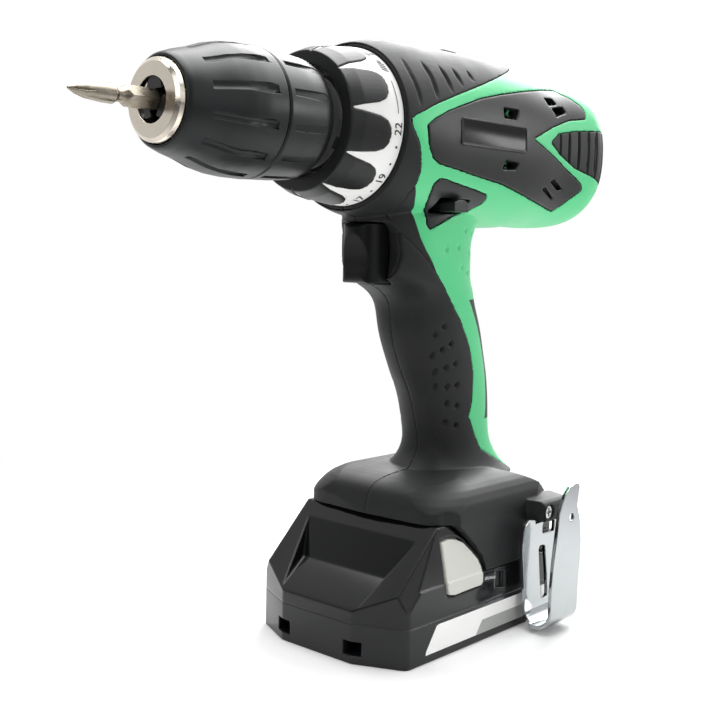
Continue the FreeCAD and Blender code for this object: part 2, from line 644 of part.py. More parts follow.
output_plate = OUTPUT_PLATE_X
planets2_x = output_plate + PLATE + STEP
carrier1_x = planets2_x + GEAR_WIDTH + STEP
planets1_x = carrier1_x + PLATE + STEP
gears_end = planets1_x + GEAR_WIDTH


def planet(x0, k):
    turn = planet_angles[k]
    ratio = SUN_TEETH / PLANET_TEETH
    phase = turn + math.pi - math.pi / PLANET_TEETH + ratio * turn
    body_gear = gear(PLANET_TEETH, x0, GEAR_WIDTH, 0.8, 1.0, GEAR_SLACK, phase, planet_centres[k])
    return body_gear.cut(rod_x(x0 - 1, x0 + GEAR_WIDTH + 1, PIN_R + FIT, planet_centres[k]))


def sun(x0, width):
    return gear(SUN_TEETH, x0, width, 0.8, 1.0, GEAR_SLACK, 0.0)


def ring_gear(x0, width, outer_r):
    cutter = gear(RING_TEETH, x0 - 1, width + 2, 1.0, 0.8, -GEAR_SLACK, -math.pi / RING_TEETH)
    return rod_x(x0, x0 + width, outer_r).cut(cutter)


for k in range(PLANETS):
    export("output_planet_" + str(k + 1), planet(planets2_x, k))
    export("input_planet_" + str(k + 1), planet(planets1_x, k))

pins1 = [rod_x(carrier1_x + PLATE - 1, gears_end + 0.3, PIN_R, centre) for centre in planet_centres]
carrier_plate = disc(carrier1_x, carrier1_x + PLATE, CARRIER_R, 0)
export("first_carrier", fused([carrier_plate, sun(planets2_x + 0.1, GEAR_WIDTH + STEP)] + pins1))

export("fixed_ring_gear", ring_gear(planets2_x, GEAR_WIDTH, RING_GEAR_R + 0.3))

# the front ring gear slides back to change speed; a fork rides in its groove
fork_x = planets1_x + GEAR_WIDTH / 2
shift_ring = ring_gear(planets1_x, GEAR_WIDTH, RING_GEAR_R)
fork_groove = disc(fork_x - 1.2, fork_x + 1.2, RING_GEAR_R + 2, RING_GEAR_R - 1.0)
export("shift_ring_gear", shift_ring.cut(fork_groove))

BEARING_R = 13.0
NOSE_R = 17.0
SPINDLE_R = 6.0
NOSE_FRONT = -67.5
case_front = output_plate - 1.5
case_rear = gears_end + SHIFT_TRAVEL + 1.0
COVER_PLATE = 3.6
front_seat = (NOSE_FRONT + 0.5, NOSE_FRONT + 7.5)
rear_seat = (case_front - 10.0, case_front - 3.0)
flange_r = BARREL_HALF_Y - WALL - 3.0
case_outline = [
    (NOSE_FRONT, BEARING_R + FIT), (NOSE_FRONT, NOSE_R), (BARREL_FRONT - 4, NOSE_R), (BARREL_FRONT - 4, flange_r),
    (BARREL_FRONT - 0.4, flange_r), (BARREL_FRONT - 0.4, GEARCASE_R), (case_rear, GEARCASE_R),
    (case_rear, RING_GEAR_R + CLEAR), (case_front, RING_GEAR_R + CLEAR), (case_front, BEARING_R + FIT),
    (rear_seat[0], BEARING_R + FIT), (rear_seat[0], BEARING_R - 2), (front_seat[1], BEARING_R - 2),
    (front_seat[1], BEARING_R + FIT),
]
KEY_COUNT = 3
NUT_X = -62.0
NUT_WIDTH = 4.0
NUT_TRAVEL = 4.8
KEY_DEPTH = 1.4
nut_keys = []
key_ways = []
for k in range(KEY_COUNT):
    key = block(NUT_X, NUT_X + NUT_WIDTH, -2.0, 2.0, AXIS_Z + NOSE_R - KEY_DEPTH, AXIS_Z + NOSE_R + 1.5)
    way = block(NOSE_FRONT - 1, NUT_X + NUT_WIDTH + CLEAR, -2.0 - CLEAR, 2.0 + CLEAR,
                AXIS_Z + NOSE_R - KEY_DEPTH - CLEAR, AXIS_Z + NOSE_R + 2)
    nut_keys.append(about_spindle(key, 360.0 * k / KEY_COUNT))
    key_ways.append(about_spindle(way, 360.0 * k / KEY_COUNT))
fork_slot = block(fork_x - 2.0, fork_x + 2.0 + SHIFT_TRAVEL, -5.0, 5.0, AXIS_Z + 10, AXIS_Z + 60)
case_shell = turned(case_outline).cut(key_ways + [fork_slot])
export("gearcase", case_shell)
cover_plate = disc(case_rear, case_rear + COVER_PLATE, GEARCASE_R, SHAFT_R + 0.8)
export("gearcase_cover", cover_plate)


def ball_bearing(x0, x1, outer_r, inner_r):
    """Outer race, inner race and a shield between them, as one sealed bearing."""
    race = (outer_r - inner_r) * 0.26
    sealed = turned([
        (x0, inner_r), (x0, inner_r + race), (x0 + 0.6, inner_r + race), (x0 + 0.6, outer_r - race),
        (x0, outer_r - race), (x0, outer_r), (x1, outer_r), (x1, outer_r - race), (x1 - 0.6, outer_r - race),
        (x1 - 0.6, inner_r + race), (x1, inner_r + race), (x1, inner_r),
    ])
    return sealed


spindle_bearings = [ball_bearing(x0, x1, BEARING_R, SPINDLE_R + FIT) for x0, x1 in (front_seat, rear_seat)]

# ------------------------------------------------------------------ keyless chuck
HUB_R = 10.5
HUB_REAR = SLEEVE_REAR - 3.5
DISC_REAR = SLEEVE_SPLIT + 4.0
BORE_END = -106.0
THREAD_X0 = -112.0
THREAD_X1 = -104.0
GROOVE_R = CHUCK_BODY_R - 2.7
NOSE_LIP_R = 13.6
jaw_slope = math.radians(JAW_ANGLE)
JAW_OPENING = 3.0
JAW_TRAVEL = JAW_OPENING / math.sin(jaw_slope)
GRIP_R = BIT_FLATS / 2 + 0.3
JAW_FRONT = CHUCK_FRONT + 1.0
jaw_axis_r = GRIP_R + 0.5


def jaw_line(radius, start, length):
    """Rod along a jaw's sloping path, starting at an axial distance from the jaw's front."""
    direction = Vector(math.cos(jaw_slope), 0, math.sin(jaw_slope))
    front = Vector(JAW_FRONT, 0, AXIS_Z + jaw_axis_r)
    return Part.makeCylinder(radius, length, front + direction * start, direction)


jaw_turns = [0.0, 120.0, 240.0]
jaw_bores = [about_spindle(jaw_line(JAW_R + FIT, -8, 56), turn) for turn in jaw_turns]
chuck_outline = [
    (CHUCK_FRONT, CHUCK_BORE_R), (CHUCK_FRONT, NOSE_LIP_R - 1.6), (CHUCK_FRONT + 1, NOSE_LIP_R - 0.3),
    (CHUCK_FRONT + 2.6, NOSE_LIP_R), (CHUCK_FRONT + 5, NOSE_LIP_R), (THREAD_X0 - 4, CHUCK_BODY_R),
    (THREAD_X0 - 0.3, CHUCK_BODY_R), (THREAD_X0 - 0.3, GROOVE_R), (THREAD_X1 + 0.3, GROOVE_R),
    (THREAD_X1 + 0.3, CHUCK_BODY_R), (DISC_REAR, CHUCK_BODY_R), (DISC_REAR, HUB_R), (HUB_REAR, HUB_R),
    (HUB_REAR, SPINDLE_R + FIT), (DISC_REAR - 3, SPINDLE_R + FIT), (DISC_REAR - 3, 2.6), (BORE_END, 2.6),
    (BORE_END, CHUCK_BORE_R - 0.8), (CHUCK_FRONT + 3, CHUCK_BORE_R - 0.8), (CHUCK_FRONT + 2, CHUCK_BORE_R),
]
export("chuck_body", largest(turned(chuck_outline).cut(jaw_bores)))

sleeve_outline = [
    (CHUCK_FRONT + 2.8, NOSE_LIP_R + CLEAR), (CHUCK_FRONT + 2.9, NOSE_LIP_R + 1.1),
    (CHUCK_FRONT + 3.6, NOSE_LIP_R + 1.8), (CHUCK_FRONT + 7.5, SLEEVE_R - 5.6),
    (CHUCK_FRONT + 13.5, SLEEVE_R - 4.0), (CHUCK_FRONT + 19.5, SLEEVE_R - 1.9), (CHUCK_FRONT + 24.5, SLEEVE_R - 0.8),
    (CHUCK_FRONT + 30.5, SLEEVE_R - 0.2), (SLEEVE_SPLIT - 0.6, SLEEVE_R), (SLEEVE_SPLIT, SLEEVE_R - 0.5),
    (SLEEVE_SPLIT, CHUCK_BODY_R + CLEAR), (THREAD_X0 - 4, CHUCK_BODY_R + CLEAR),
    (CHUCK_FRONT + 5, NOSE_LIP_R + CLEAR),
]


def flute(x0, x1, half_width, floor_r, slant):
    """Shallow groove along the sleeve, slant-cut at its rear end."""
    corners = [(x0, -half_width * 0.7), (x0, half_width * 0.7), (x1 - slant, half_width), (x1, -half_width)]
    wire = polygon([Vector(x, t, AXIS_Z + floor_r) for x, t in corners])
    return Part.Face(wire).extrude(Vector(0, 0, 10))


FLUTES = 12
front_flute = flute(CHUCK_FRONT + 9, SLEEVE_SPLIT - 3.5, 1.6, SLEEVE_R - 1.0, 5.0)
front_flutes = [about_spindle(front_flute, 15 + 360.0 * i / FLUTES) for i in range(FLUTES)]
export("front_sleeve", turned(sleeve_outline).cut(front_flutes))

rear_outline = [
    (SLEEVE_SPLIT + 0.4, SLEEVE_R - 0.6), (SLEEVE_SPLIT + 1.2, SLEEVE_R - 0.1), (SLEEVE_SPLIT + 12, SLEEVE_R - 0.4),
    (SLEEVE_REAR - 4, SLEEVE_R - 1.0), (SLEEVE_REAR - 1, SLEEVE_R - 2.0), (SLEEVE_REAR, SLEEVE_R - 2.8),
    (SLEEVE_REAR, SLEEVE_R - 4.6), (DISC_REAR + 1.6, SLEEVE_R - 2.6), (DISC_REAR + 0.8, HUB_R + 0.1),
    (DISC_REAR, HUB_R + 0.1), (DISC_REAR, CHUCK_BODY_R + 0.05), (SLEEVE_SPLIT + 0.4, CHUCK_BODY_R + 0.05),
]
rear_flute = flute(SLEEVE_SPLIT + 3, SLEEVE_REAR - 2, 1.6, SLEEVE_R - 1.2, 3.0)
rear_flutes = [about_spindle(rear_flute, 15 + 360.0 * i / FLUTES) for i in range(FLUTES)]
jaw_room = [about_spindle(jaw_line(JAW_R + CLEAR, 20, 40), turn) for turn in jaw_turns]
export("rear_sleeve", largest(turned(rear_outline).cut(rear_flutes + jaw_room)))

thread_depth = math.tan(jaw_slope)
nut_r0 = jaw_axis_r + (THREAD_X0 - JAW_FRONT) * thread_depth + JAW_R / math.cos(jaw_slope) + 0.3
nut_r1 = jaw_axis_r + (THREAD_X1 - JAW_FRONT) * thread_depth + JAW_R / math.cos(jaw_slope) + 0.3
nut_bore0 = max(nut_r0, GROOVE_R + CLEAR)
nut_bore1 = max(nut_r1, GROOVE_R + CLEAR)
export("jaw_nut", turned([(THREAD_X0, nut_bore0), (THREAD_X0, CHUCK_BODY_R + CLEAR - 0.05),
                          (THREAD_X1, CHUCK_BODY_R + CLEAR - 0.05), (THREAD_X1, nut_bore1)]))

jaw = jaw_line(JAW_R, -8, JAW_LENGTH + 8)
jaw = jaw.cut(block(JAW_FRONT - 30, JAW_FRONT, -20, 20, AXIS_Z - 20, AXIS_Z + 40))
jaw = jaw.cut(block(JAW_FRONT - 30, JAW_FRONT + 60, -20, 20, AXIS_Z - 20, AXIS_Z + GRIP_R))
for k in range(3):
    export("jaw_" + str(k + 1), about_spindle(jaw, jaw_turns[k]))

export("chuck_screw", turned([
    (BORE_END - 3.0, 0), (BORE_END - 3.0, 4.6), (BORE_END - 0.05, 4.6), (BORE_END - 0.05, 2.5),
    (DISC_REAR + 9, 2.5), (DISC_REAR + 9, 0),
]).cut(block(BORE_END - 4, BORE_END - 1.6, -0.6, 0.6, AXIS_Z - 6, AXIS_Z + 6)))

spindle_outline = [
    (DISC_REAR - 2.9, 2.6), (DISC_REAR - 2.9, SPINDLE_R), (rear_seat[1] + 0.3, SPINDLE_R),
    (rear_seat[1] + 0.3, SPINDLE_R + 3), (output_plate, SPINDLE_R + 3), (output_plate, CARRIER_R),
    (output_plate + PLATE, CARRIER_R), (output_plate + PLATE, 0), (DISC_REAR + 9.5, 0), (DISC_REAR + 9.5, 2.6),
]
pins2 = [rod_x(output_plate + PLATE - 1, planets2_x + GEAR_WIDTH - 0.2, PIN_R, centre) for centre in planet_centres]
export("spindle", fused([turned(spindle_outline)] + pins2))

hex_r = BIT_FLATS / 2 / math.cos(math.pi / 6)
hex_corners = [Vector(BIT_TIP + 19.5, hex_r * math.cos(math.pi * i / 3), AXIS_Z + hex_r * math.sin(math.pi * i / 3))
               for i in range(6)]
hex_shank = Part.Face(polygon(hex_corners)).extrude(Vector(BIT_LENGTH - 19.5, 0, 0))
hex_limit = turned([(BIT_TIP + 17, 0), (BIT_TIP + 19.4, 2.6), (BIT_TIP + 21.5, hex_r + 0.1),
                    (BIT_TIP + BIT_LENGTH - 1, hex_r + 0.1), (BIT_TIP + BIT_LENGTH, 2.9), (BIT_TIP + BIT_LENGTH, 0)])
bit_point = turned([
    (BIT_TIP, 0), (BIT_TIP, 0.35), (BIT_TIP + 2.6, 1.6), (BIT_TIP + 6, 2.5), (BIT_TIP + 12, 3.05),
    (BIT_TIP + 15.6, 3.1), (BIT_TIP + 17, 2.2), (BIT_TIP + 18.6, 2.2), (BIT_TIP + 20.5, 3.1), (BIT_TIP + 20.5, 0),
])
FLUTE_RISE = 14.0
flute_wedge = polygon([
    Vector(BIT_TIP - 1, 0.3, AXIS_Z + 0.3), Vector(BIT_TIP - 1, 6, AXIS_Z + 0.3), Vector(BIT_TIP - 1, 6, AXIS_Z + 6),
    Vector(BIT_TIP - 1, 0.3, AXIS_Z + 6),
])
flute_cut = Part.Face(flute_wedge).extrude(Vector(9.5, 0, 0))
flute_cut.rotate(Vector(BIT_TIP, 0, AXIS_Z), Vector(0, -1, 1), FLUTE_RISE)
bit_flutes = [about_spindle(flute_cut, 45 + 90 * i) for i in range(4)]
export("screwdriver_bit", largest(fused([hex_shank.common(hex_limit), bit_point.cut(bit_flutes)])))

# -------------------------------------------------------------------- torque ring
ring_rear = BARREL_FRONT - 0.6
ring_steps = [
    (RING_FRONT, RING_R - 6.1), (RING_FRONT, RING_R - 4.7), (RING_FRONT + 5, RING_R - 2.7),
    (RING_FRONT + 15, RING_R - 0.8), (ring_rear - 1.8, RING_R - 0.1), (ring_rear, RING_R),
]
ring_inside = [
    (ring_rear, flange_r + CLEAR), (ring_rear - 4.6, flange_r + CLEAR), (ring_rear - 5.4, NOSE_R + 7.6),
    (RING_FRONT + 2, NOSE_R + 7.6), (RING_FRONT + 1.8, NOSE_R + 3), (RING_FRONT, NOSE_R + 3),
]
BAND = 1.0
BAND_SINK = 0.5
ring_full = turned(ring_steps + ring_inside)
band_outer = turned([(x, r - BAND_SINK) for x, r in ring_steps] + [(ring_rear, 5), (RING_FRONT, 5)])
band_inner = turned([(x, r - BAND_SINK - BAND) for x, r in ring_steps] + [(ring_rear, 5), (RING_FRONT, 5)])


def lobe(margin):
    """Finger pad of the torque ring, seen from outside; it narrows to the rear."""
    half = [(-2.5, 7.6), (6, 6.9), (12, 6.2), (15, 5.0), (16.6, 3.0), (17.2, 0.0)]
    outline = [(x, t) for x, t in half] + [(x, -t) for x, t in reversed(half[:-1])]
    wire = polygon([Vector(RING_FRONT + x, t, AXIS_Z + 15) for x, t in outline])
    if margin:
        wire = wire.makeOffset2D(margin, 2)
    return Part.Face(wire).extrude(Vector(0, 0, 20))


LOBE_START = -80.0
lobe_turns = [LOBE_START + 360.0 * k / GRIP_LOBES for k in range(GRIP_LOBES)]
lobes = [about_spindle(lobe(0), turn) for turn in lobe_turns]
lobe_seats = [about_spindle(lobe(0.12), turn) for turn in lobe_turns]
band_keep = block(RING_FRONT + 0.8, ring_rear, -60, 60, AXIS_Z - 60, AXIS_Z + 60)
band = band_outer.cut(band_inner).common(band_keep).cut(lobe_seats)
export("clutch_band", larger_than(band, 5))
ring_core = ring_full.common(band_inner)
ring_pads = [ring_full.common(one) for one in lobes]
export("clutch_ring", fused([ring_core] + ring_pads))

NUT_R = NOSE_R + 7.6 - CLEAR
nut = disc(NUT_X, NUT_X + NUT_WIDTH, NUT_R, NOSE_R + CLEAR)
export("clutch_nut", fused([nut] + nut_keys))


def spring(length, mean_r, wire_r, turns):
    """Compression spring standing at the origin."""
    helix = Part.makeHelix(length / turns, length, mean_r)
    circle = Part.Wire([Part.makeCircle(wire_r, Vector(mean_r, 0, 0), Vector(0, 1, 0))])
    solid = Part.Wire(helix.Edges).makePipeShell([circle], True, True)
    return solid


def laid(shape, start, direction):
    """Place a spring, made upright at the origin, along a direction from a start point."""
    moved = shape.copy()
    moved.Placement = FreeCAD.Placement(start, Rotation(Vector(0, 0, 1), direction))
    return moved


nut_rear = NUT_X + NUT_WIDTH
spring_end = BARREL_FRONT - 4
clutch_coil = spring(spring_end - nut_rear - 2.4, NOSE_R + 3.2, 1.1, 1.5)
export("clutch_spring", laid(clutch_coil, Vector(nut_rear + 1.2, 0, AXIS_Z), X_AXIS))

# -------------------------------------------------------------------------- motor
CAN_WALL = 1.6
CAN_FRONT_WALL = 5.0
MOTOR_REAR = MOTOR_FRONT + MOTOR_LENGTH
BEARING_SMALL_R = 8.0
can_outline = [
    (MOTOR_FRONT, BEARING_SMALL_R + FIT), (MOTOR_FRONT, MOTOR_R), (MOTOR_REAR, MOTOR_R),
    (MOTOR_REAR, MOTOR_R - CAN_WALL), (MOTOR_FRONT + CAN_FRONT_WALL, MOTOR_R - CAN_WALL),
    (MOTOR_FRONT + CAN_FRONT_WALL, BEARING_SMALL_R + FIT),
]
can_windows = []
for turn in (0, 90, 180, 270):
    window = block(MOTOR_FRONT + 7, MOTOR_FRONT + 13, -6, 6, AXIS_Z + 15, AXIS_Z + 40)
    far_window = block(MOTOR_REAR - 14, MOTOR_REAR - 6, -6, 6, AXIS_Z + 15, AXIS_Z + 40)
    can_windows.append(about_spindle(window, turn))
    can_windows.append(about_spindle(far_window, turn))
export("motor_can", turned(can_outline).cut(can_windows))

MAGNET_IN = 19.4
magnet_tube = disc(MOTOR_FRONT + 15, MOTOR_REAR - 18, MOTOR_R - CAN_WALL - 0.1, MAGNET_IN)
magnet_gaps = block(0, 100, -7, 7, AXIS_Z - 40, AXIS_Z + 40)
export("motor_magnets", magnet_tube.cut(magnet_gaps))

brush_x = MOTOR_REAR + 0.2
plate_outline = [
    (brush_x, BEARING_SMALL_R + 3), (brush_x, MOTOR_R), (brush_x + 4, MOTOR_R), (brush_x + 4, BEARING_SMALL_R + 2),
    (brush_x + 9, BEARING_SMALL_R + 2), (brush_x + 9, BEARING_SMALL_R + FIT), (brush_x + 3, BEARING_SMALL_R + FIT),
    (brush_x + 3, SHAFT_R + 2), (brush_x + 1.5, SHAFT_R + 2), (brush_x + 1.5, BEARING_SMALL_R + 3),
]
holder_windows = [block(brush_x - 1, brush_x + 5, -3, 3, AXIS_Z + s * 17 - 3, AXIS_Z + s * 17 + 3) for s in (-1, 1)]
export("brush_plate", turned(plate_outline).cut(holder_windows))

shaft_end = brush_x + 10
COMMUTATOR_R = 8.5
commutator_x = MOTOR_REAR - 14
brushes = [block(commutator_x + 2, commutator_x + 9, -3, 3, AXIS_Z + COMMUTATOR_R + 0.3, AXIS_Z + 19.5)]
brushes.append(about_spindle(brushes[0], 180))
export("motor_brushes", grouped(brushes))
front_race = ball_bearing(MOTOR_FRONT, MOTOR_FRONT + 5, BEARING_SMALL_R, SHAFT_R + FIT)
rear_race = ball_bearing(brush_x + 3.2, brush_x + 8.2, BEARING_SMALL_R, SHAFT_R + FIT)
export("ball_bearings", grouped(spindle_bearings + [front_race, rear_race]))

shaft = rod_x(planets1_x, shaft_end, SHAFT_R)
export("motor_shaft", fused([sun(planets1_x, GEAR_WIDTH), shaft]))

ARMATURE_R = MAGNET_IN - 0.6
SLOTS = 12
stack = disc(MOTOR_FRONT + 16, MOTOR_REAR - 20, ARMATURE_R, SHAFT_R + 0.02)
slot = block(MOTOR_FRONT + 15, MOTOR_REAR - 19, -1.0, 1.0, AXIS_Z + ARMATURE_R - 2.5, AXIS_Z + ARMATURE_R + 1)
slots = [about_spindle(slot, 360.0 * i / SLOTS) for i in range(SLOTS)]
windings = turned([
    (MOTOR_FRONT + 14.2, SHAFT_R + 1.5), (MOTOR_FRONT + 14.2, ARMATURE_R - 4), (MOTOR_FRONT + 16, ARMATURE_R - 2.6),
    (MOTOR_REAR - 20, ARMATURE_R - 2.6), (MOTOR_REAR - 16.5, ARMATURE_R - 6), (MOTOR_REAR - 16.5, SHAFT_R + 1.5),
])
commutator = disc(MOTOR_REAR - 16.5, MOTOR_REAR - 3, COMMUTATOR_R, SHAFT_R + 0.02)
export("armature", fused([stack.cut(slots), windings.common(disc(MOTOR_FRONT, MOTOR_REAR, 30, SHAFT_R + 0.02)),
                          commutator]))

BLADES = 9
hub = disc(MOTOR_FRONT + 6, MOTOR_FRONT + 13.4, 6.0, SHAFT_R + 0.02)
back_plate = disc(MOTOR_FRONT + 12.2, MOTOR_FRONT + 13.4, MOTOR_R - CAN_WALL - 1.2, SHAFT_R + 0.02)
blade = block(MOTOR_FRONT + 6.4, MOTOR_FRONT + 12.6, -0.6, 0.6, AXIS_Z + 5, AXIS_Z + MOTOR_R - CAN_WALL - 1.6)
blade.rotate(Vector(0, 0, AXIS_Z + 5), X_AXIS, 18)
blades = [about_spindle(blade, 360.0 * i / BLADES) for i in range(BLADES)]
export("cooling_fan", fused([hub, back_plate] + blades))

# --------------------------------------------------- speed slider and lever
slide_low = AXIS_Z + GEARCASE_R + CLEAR
slide_high = slide_low + 1.6
slide_plate = block(fork_x - 4, KNOB_X1 + 5, -9, 9, slide_low, slide_high)
knob_top = AXIS_Z + BARREL_HALF_Z + 0.4
knob = side_prism([
    (KNOB_X0, slide_high - 0.5), (KNOB_X0, knob_top - 2.2), (KNOB_X0 + 2.5, knob_top - 0.6),
    (KNOB_X0 + 5, knob_top), (KNOB_X1 - 4, knob_top), (KNOB_X1 - 1, knob_top - 0.8), (KNOB_X1, knob_top - 2.4),
    (KNOB_X1, slide_high - 0.5),
], -KNOB_HALF_Y, KNOB_HALF_Y)
fork = block(fork_x - 1.0, fork_x + 1.0, -4.5, 4.5, AXIS_Z + RING_GEAR_R - 0.55, slide_low + 0.5)
export("speed_slider", fused([slide_plate, knob, fork]))

LEVER_TIP_Y = 28.0
pivot_r = 4.5
arm = block(LEVER_X - 2.6, LEVER_X + 2.6, -22, 22, LEVER_Z - 2.4, LEVER_Z + 0.9)
near_nub = side_prism([
    (LEVER_X - LEVER_HALF, LEVER_Z - 2.4), (LEVER_X + LEVER_HALF, LEVER_Z - 2.4),
    (LEVER_X + LEVER_HALF, LEVER_Z + 1.2), (LEVER_X + 1.6, LEVER_Z + 2.3), (LEVER_X - 1.6, LEVER_Z + 2.3),
    (LEVER_X - LEVER_HALF, LEVER_Z + 1.2),
], -LEVER_TIP_Y, -21)
lever_boss = rod_z(LEVER_X, 0, pivot_r, LEVER_Z - 2.4, LEVER_Z + 0.9)
lever_peg = rod_z(LEVER_X + 7, 0, 1.4, LEVER_Z - 5.2, LEVER_Z - 1)
lever_tail = block(LEVER_X, LEVER_X + 8.4, -1.8, 1.8, LEVER_Z - 2.4, LEVER_Z + 0.9)
pivot_hole = rod_z(LEVER_X, 0, 1.5 + FIT, LEVER_Z - 10, LEVER_Z + 10)
export("reversing_lever", fused([arm, near_nub, mirrored(near_nub), lever_boss, lever_tail, lever_peg]).cut(pivot_hole))

# -------------------------------------------------------- trigger and its switch
TRIGGER_REAR = -21.5
trigger_low_z = TRIGGER_Z - TRIGGER_HEIGHT / 2
trigger_high_z = TRIGGER_Z + TRIGGER_HEIGHT / 2
face = TRIGGER_FACE
trigger_curve = [
    (face + 3.4, trigger_high_z), (face + 1.1, trigger_high_z - 0.7), (face, trigger_high_z - 2.6),
    (face + 0.6, trigger_high_z - 5.6), (face + 1.9, trigger_high_z - 10), (face + 2.4, trigger_high_z - 14),
    (face + 1.8, trigger_low_z + 5.6), (face + 1.0, trigger_low_z + 2.6), (face + 1.5, trigger_low_z + 0.8),
    (face + 3.4, trigger_low_z),
]
trigger_side = shaped_face([Vector(x, -20, z) for x, z in trigger_curve],
                           [Vector(TRIGGER_REAR, -20, trigger_low_z), Vector(TRIGGER_REAR, -20, trigger_high_z)])
trigger_side = trigger_side.extrude(Vector(0, 40, 0))
half_width = TRIGGER_WIDTH / 2
trigger_bow = [Vector(face + x, half_width * y, 0) for x, y in
               ((7.5, 1.0), (4.0, 0.9), (1.3, 0.6), (0.0, 0.0), (1.3, -0.6), (4.0, -0.9), (7.5, -1.0))]
trigger_plan = shaped_face(trigger_bow, [Vector(TRIGGER_REAR, -half_width, 0), Vector(TRIGGER_REAR, half_width, 0)])
trigger_block = trigger_side.common(trigger_plan.extrude(Vector(0, 0, 300)))
trigger_hollow = block(face + 8, TRIGGER_REAR + 1, -half_width + 1.8, half_width - 1.8,
                       trigger_low_z + 1.8, trigger_high_z - 1.8)
PLUNGER_R = 2.4
SWITCH_X0 = TRIGGER_REAR + TRIGGER_TRAVEL + 4
plunger = Part.makeCylinder(PLUNGER_R, SWITCH_X0 + 3 - (face + 6), Vector(face + 6, 0, TRIGGER_Z), X_AXIS)
export("trigger", fused([trigger_block.cut(trigger_hollow), plunger]))

SWITCH_X1 = 14.5
switch = block(SWITCH_X0, SWITCH_X1, -8.5, 8.5, trigger_low_z + 1, LEVER_Z - 6.5)
plunger_hole = Part.makeCylinder(PLUNGER_R + CLEAR, 15, Vector(SWITCH_X0 - 1, 0, TRIGGER_Z), X_AXIS)
lever_post = rod_z(LEVER_X, 0, 1.5, LEVER_Z - 7, LEVER_Z + 0.6)
peg_slot = block(LEVER_X + 4.6, LEVER_X + 9.4, -3.4, 3.4, LEVER_Z - 8, LEVER_Z)
switch_top = block(LEVER_X - 4, LEVER_X + 11, -6, 6, LEVER_Z - 6.6, LEVER_Z - 3.0)
switch_solid = fused([switch, switch_top.cut(peg_slot), lever_post]).cut([plunger_hole, peg_slot])
heat_sink = block(SWITCH_X1 - 0.1, SWITCH_X1 + 1.8, -7, 7, trigger_low_z + 3, LEVER_Z - 10)
export("switch_body", fused([switch_solid, heat_sink]))

trigger_coil = spring(SWITCH_X0 - TRIGGER_REAR - 1.6, PLUNGER_R + 2.2, 0.6, 4)
export("trigger_spring", laid(trigger_coil, Vector(TRIGGER_REAR + 0.8, 0, TRIGGER_Z), X_AXIS))

# ---------------------------------------------------------------- terminal block
blades_y = (-10.5, -3.5, 3.5, 10.5)
terminal = block(TERMINAL_X0, TERMINAL_X1, -TERMINAL_HALF_Y, TERMINAL_HALF_Y, BATTERY_DECK + CLEAR + 0.3,
                 BATTERY_DECK + 8)
BLADE_LOW = BATTERY_DECK - 5.5
terminal_blades = [block(TERMINAL_X0 + 4, TERMINAL_X1 - 3, y - 0.4, y + 0.4, BLADE_LOW, BATTERY_DECK + 1)
                   for y in blades_y]
export("terminal_block", fused([terminal] + terminal_blades))

# ------------------------------------------------------------------ battery pack
pack_plan = [
    Vector(BATTERY_FRONT, -FRONT_FLAT, 0), Vector(BATTERY_FRONT, FRONT_FLAT, 0),
    Vector(BATTERY_FRONT + FRONT_SETBACK, HALF_WIDTH, 0), Vector(BATTERY_REAR - 4, HALF_WIDTH, 0),
    Vector(BATTERY_REAR, HALF_WIDTH - 4, 0), Vector(BATTERY_REAR, -HALF_WIDTH + 4, 0),
    Vector(BATTERY_REAR - 4, -HALF_WIDTH, 0), Vector(BATTERY_FRONT + FRONT_SETBACK, -HALF_WIDTH, 0),
]


def pack_prism(inset, z0, z1):
    """The pack's plan outline, set in by a margin, between two heights."""
    wire = rounded(pack_plan, 3.0)
    if inset:
        wire = wire.makeOffset2D(-inset)
    face_at = Part.Face(wire)
    face_at.translate(Vector(0, 0, z0))
    return face_at.extrude(Vector(0, 0, z1 - z0))


slope_run = (BATTERY_CROWN - SLOPE_START) / SLOPE_RATIO
crown_front = BATTERY_FRONT + slope_run
block_profile = [
    (BATTERY_FRONT - 1, -1), (BATTERY_FRONT - 1, SLOPE_START - SLOPE_RATIO), (crown_front, BATTERY_CROWN),
    (-20.9, BATTERY_CROWN), (-16, BATTERY_CROWN - 3.7), (-7.7, BATTERY_CROWN - 11.1), (-3.7, BATTERY_CROWN - 15.1),
    (-1.5, BATTERY_CROWN - 19.2), (-0.85, SKIRT_Z - CLEAR), (BATTERY_REAR + 1, SKIRT_Z - CLEAR),
    (BATTERY_REAR + 1, -1),
]


def pack_form(inset):
    """Solid form of the closed pack: sloping front block, low rear body and the deck."""
    side = Part.Face(side_outline(block_profile))
    side.translate(Vector(0, -60, 0))
    solid = pack_prism(inset, inset, BATTERY_CROWN + 5).common(side.extrude(Vector(0, 120, 0)))
    if inset:
        lowered = solid.copy()
        lowered.translate(Vector(inset * 0.8, 0, -inset))
        solid = solid.common(lowered)
    deck = block(crown_front + 6 + inset, BATTERY_REAR - 0.4 - inset, -RAIL_HALF_Y + inset, RAIL_HALF_Y - inset,
                 BATTERY_SPLIT - 5, BATTERY_DECK - inset)
    return fused([solid, deck])


pack_outer = pack_form(0)


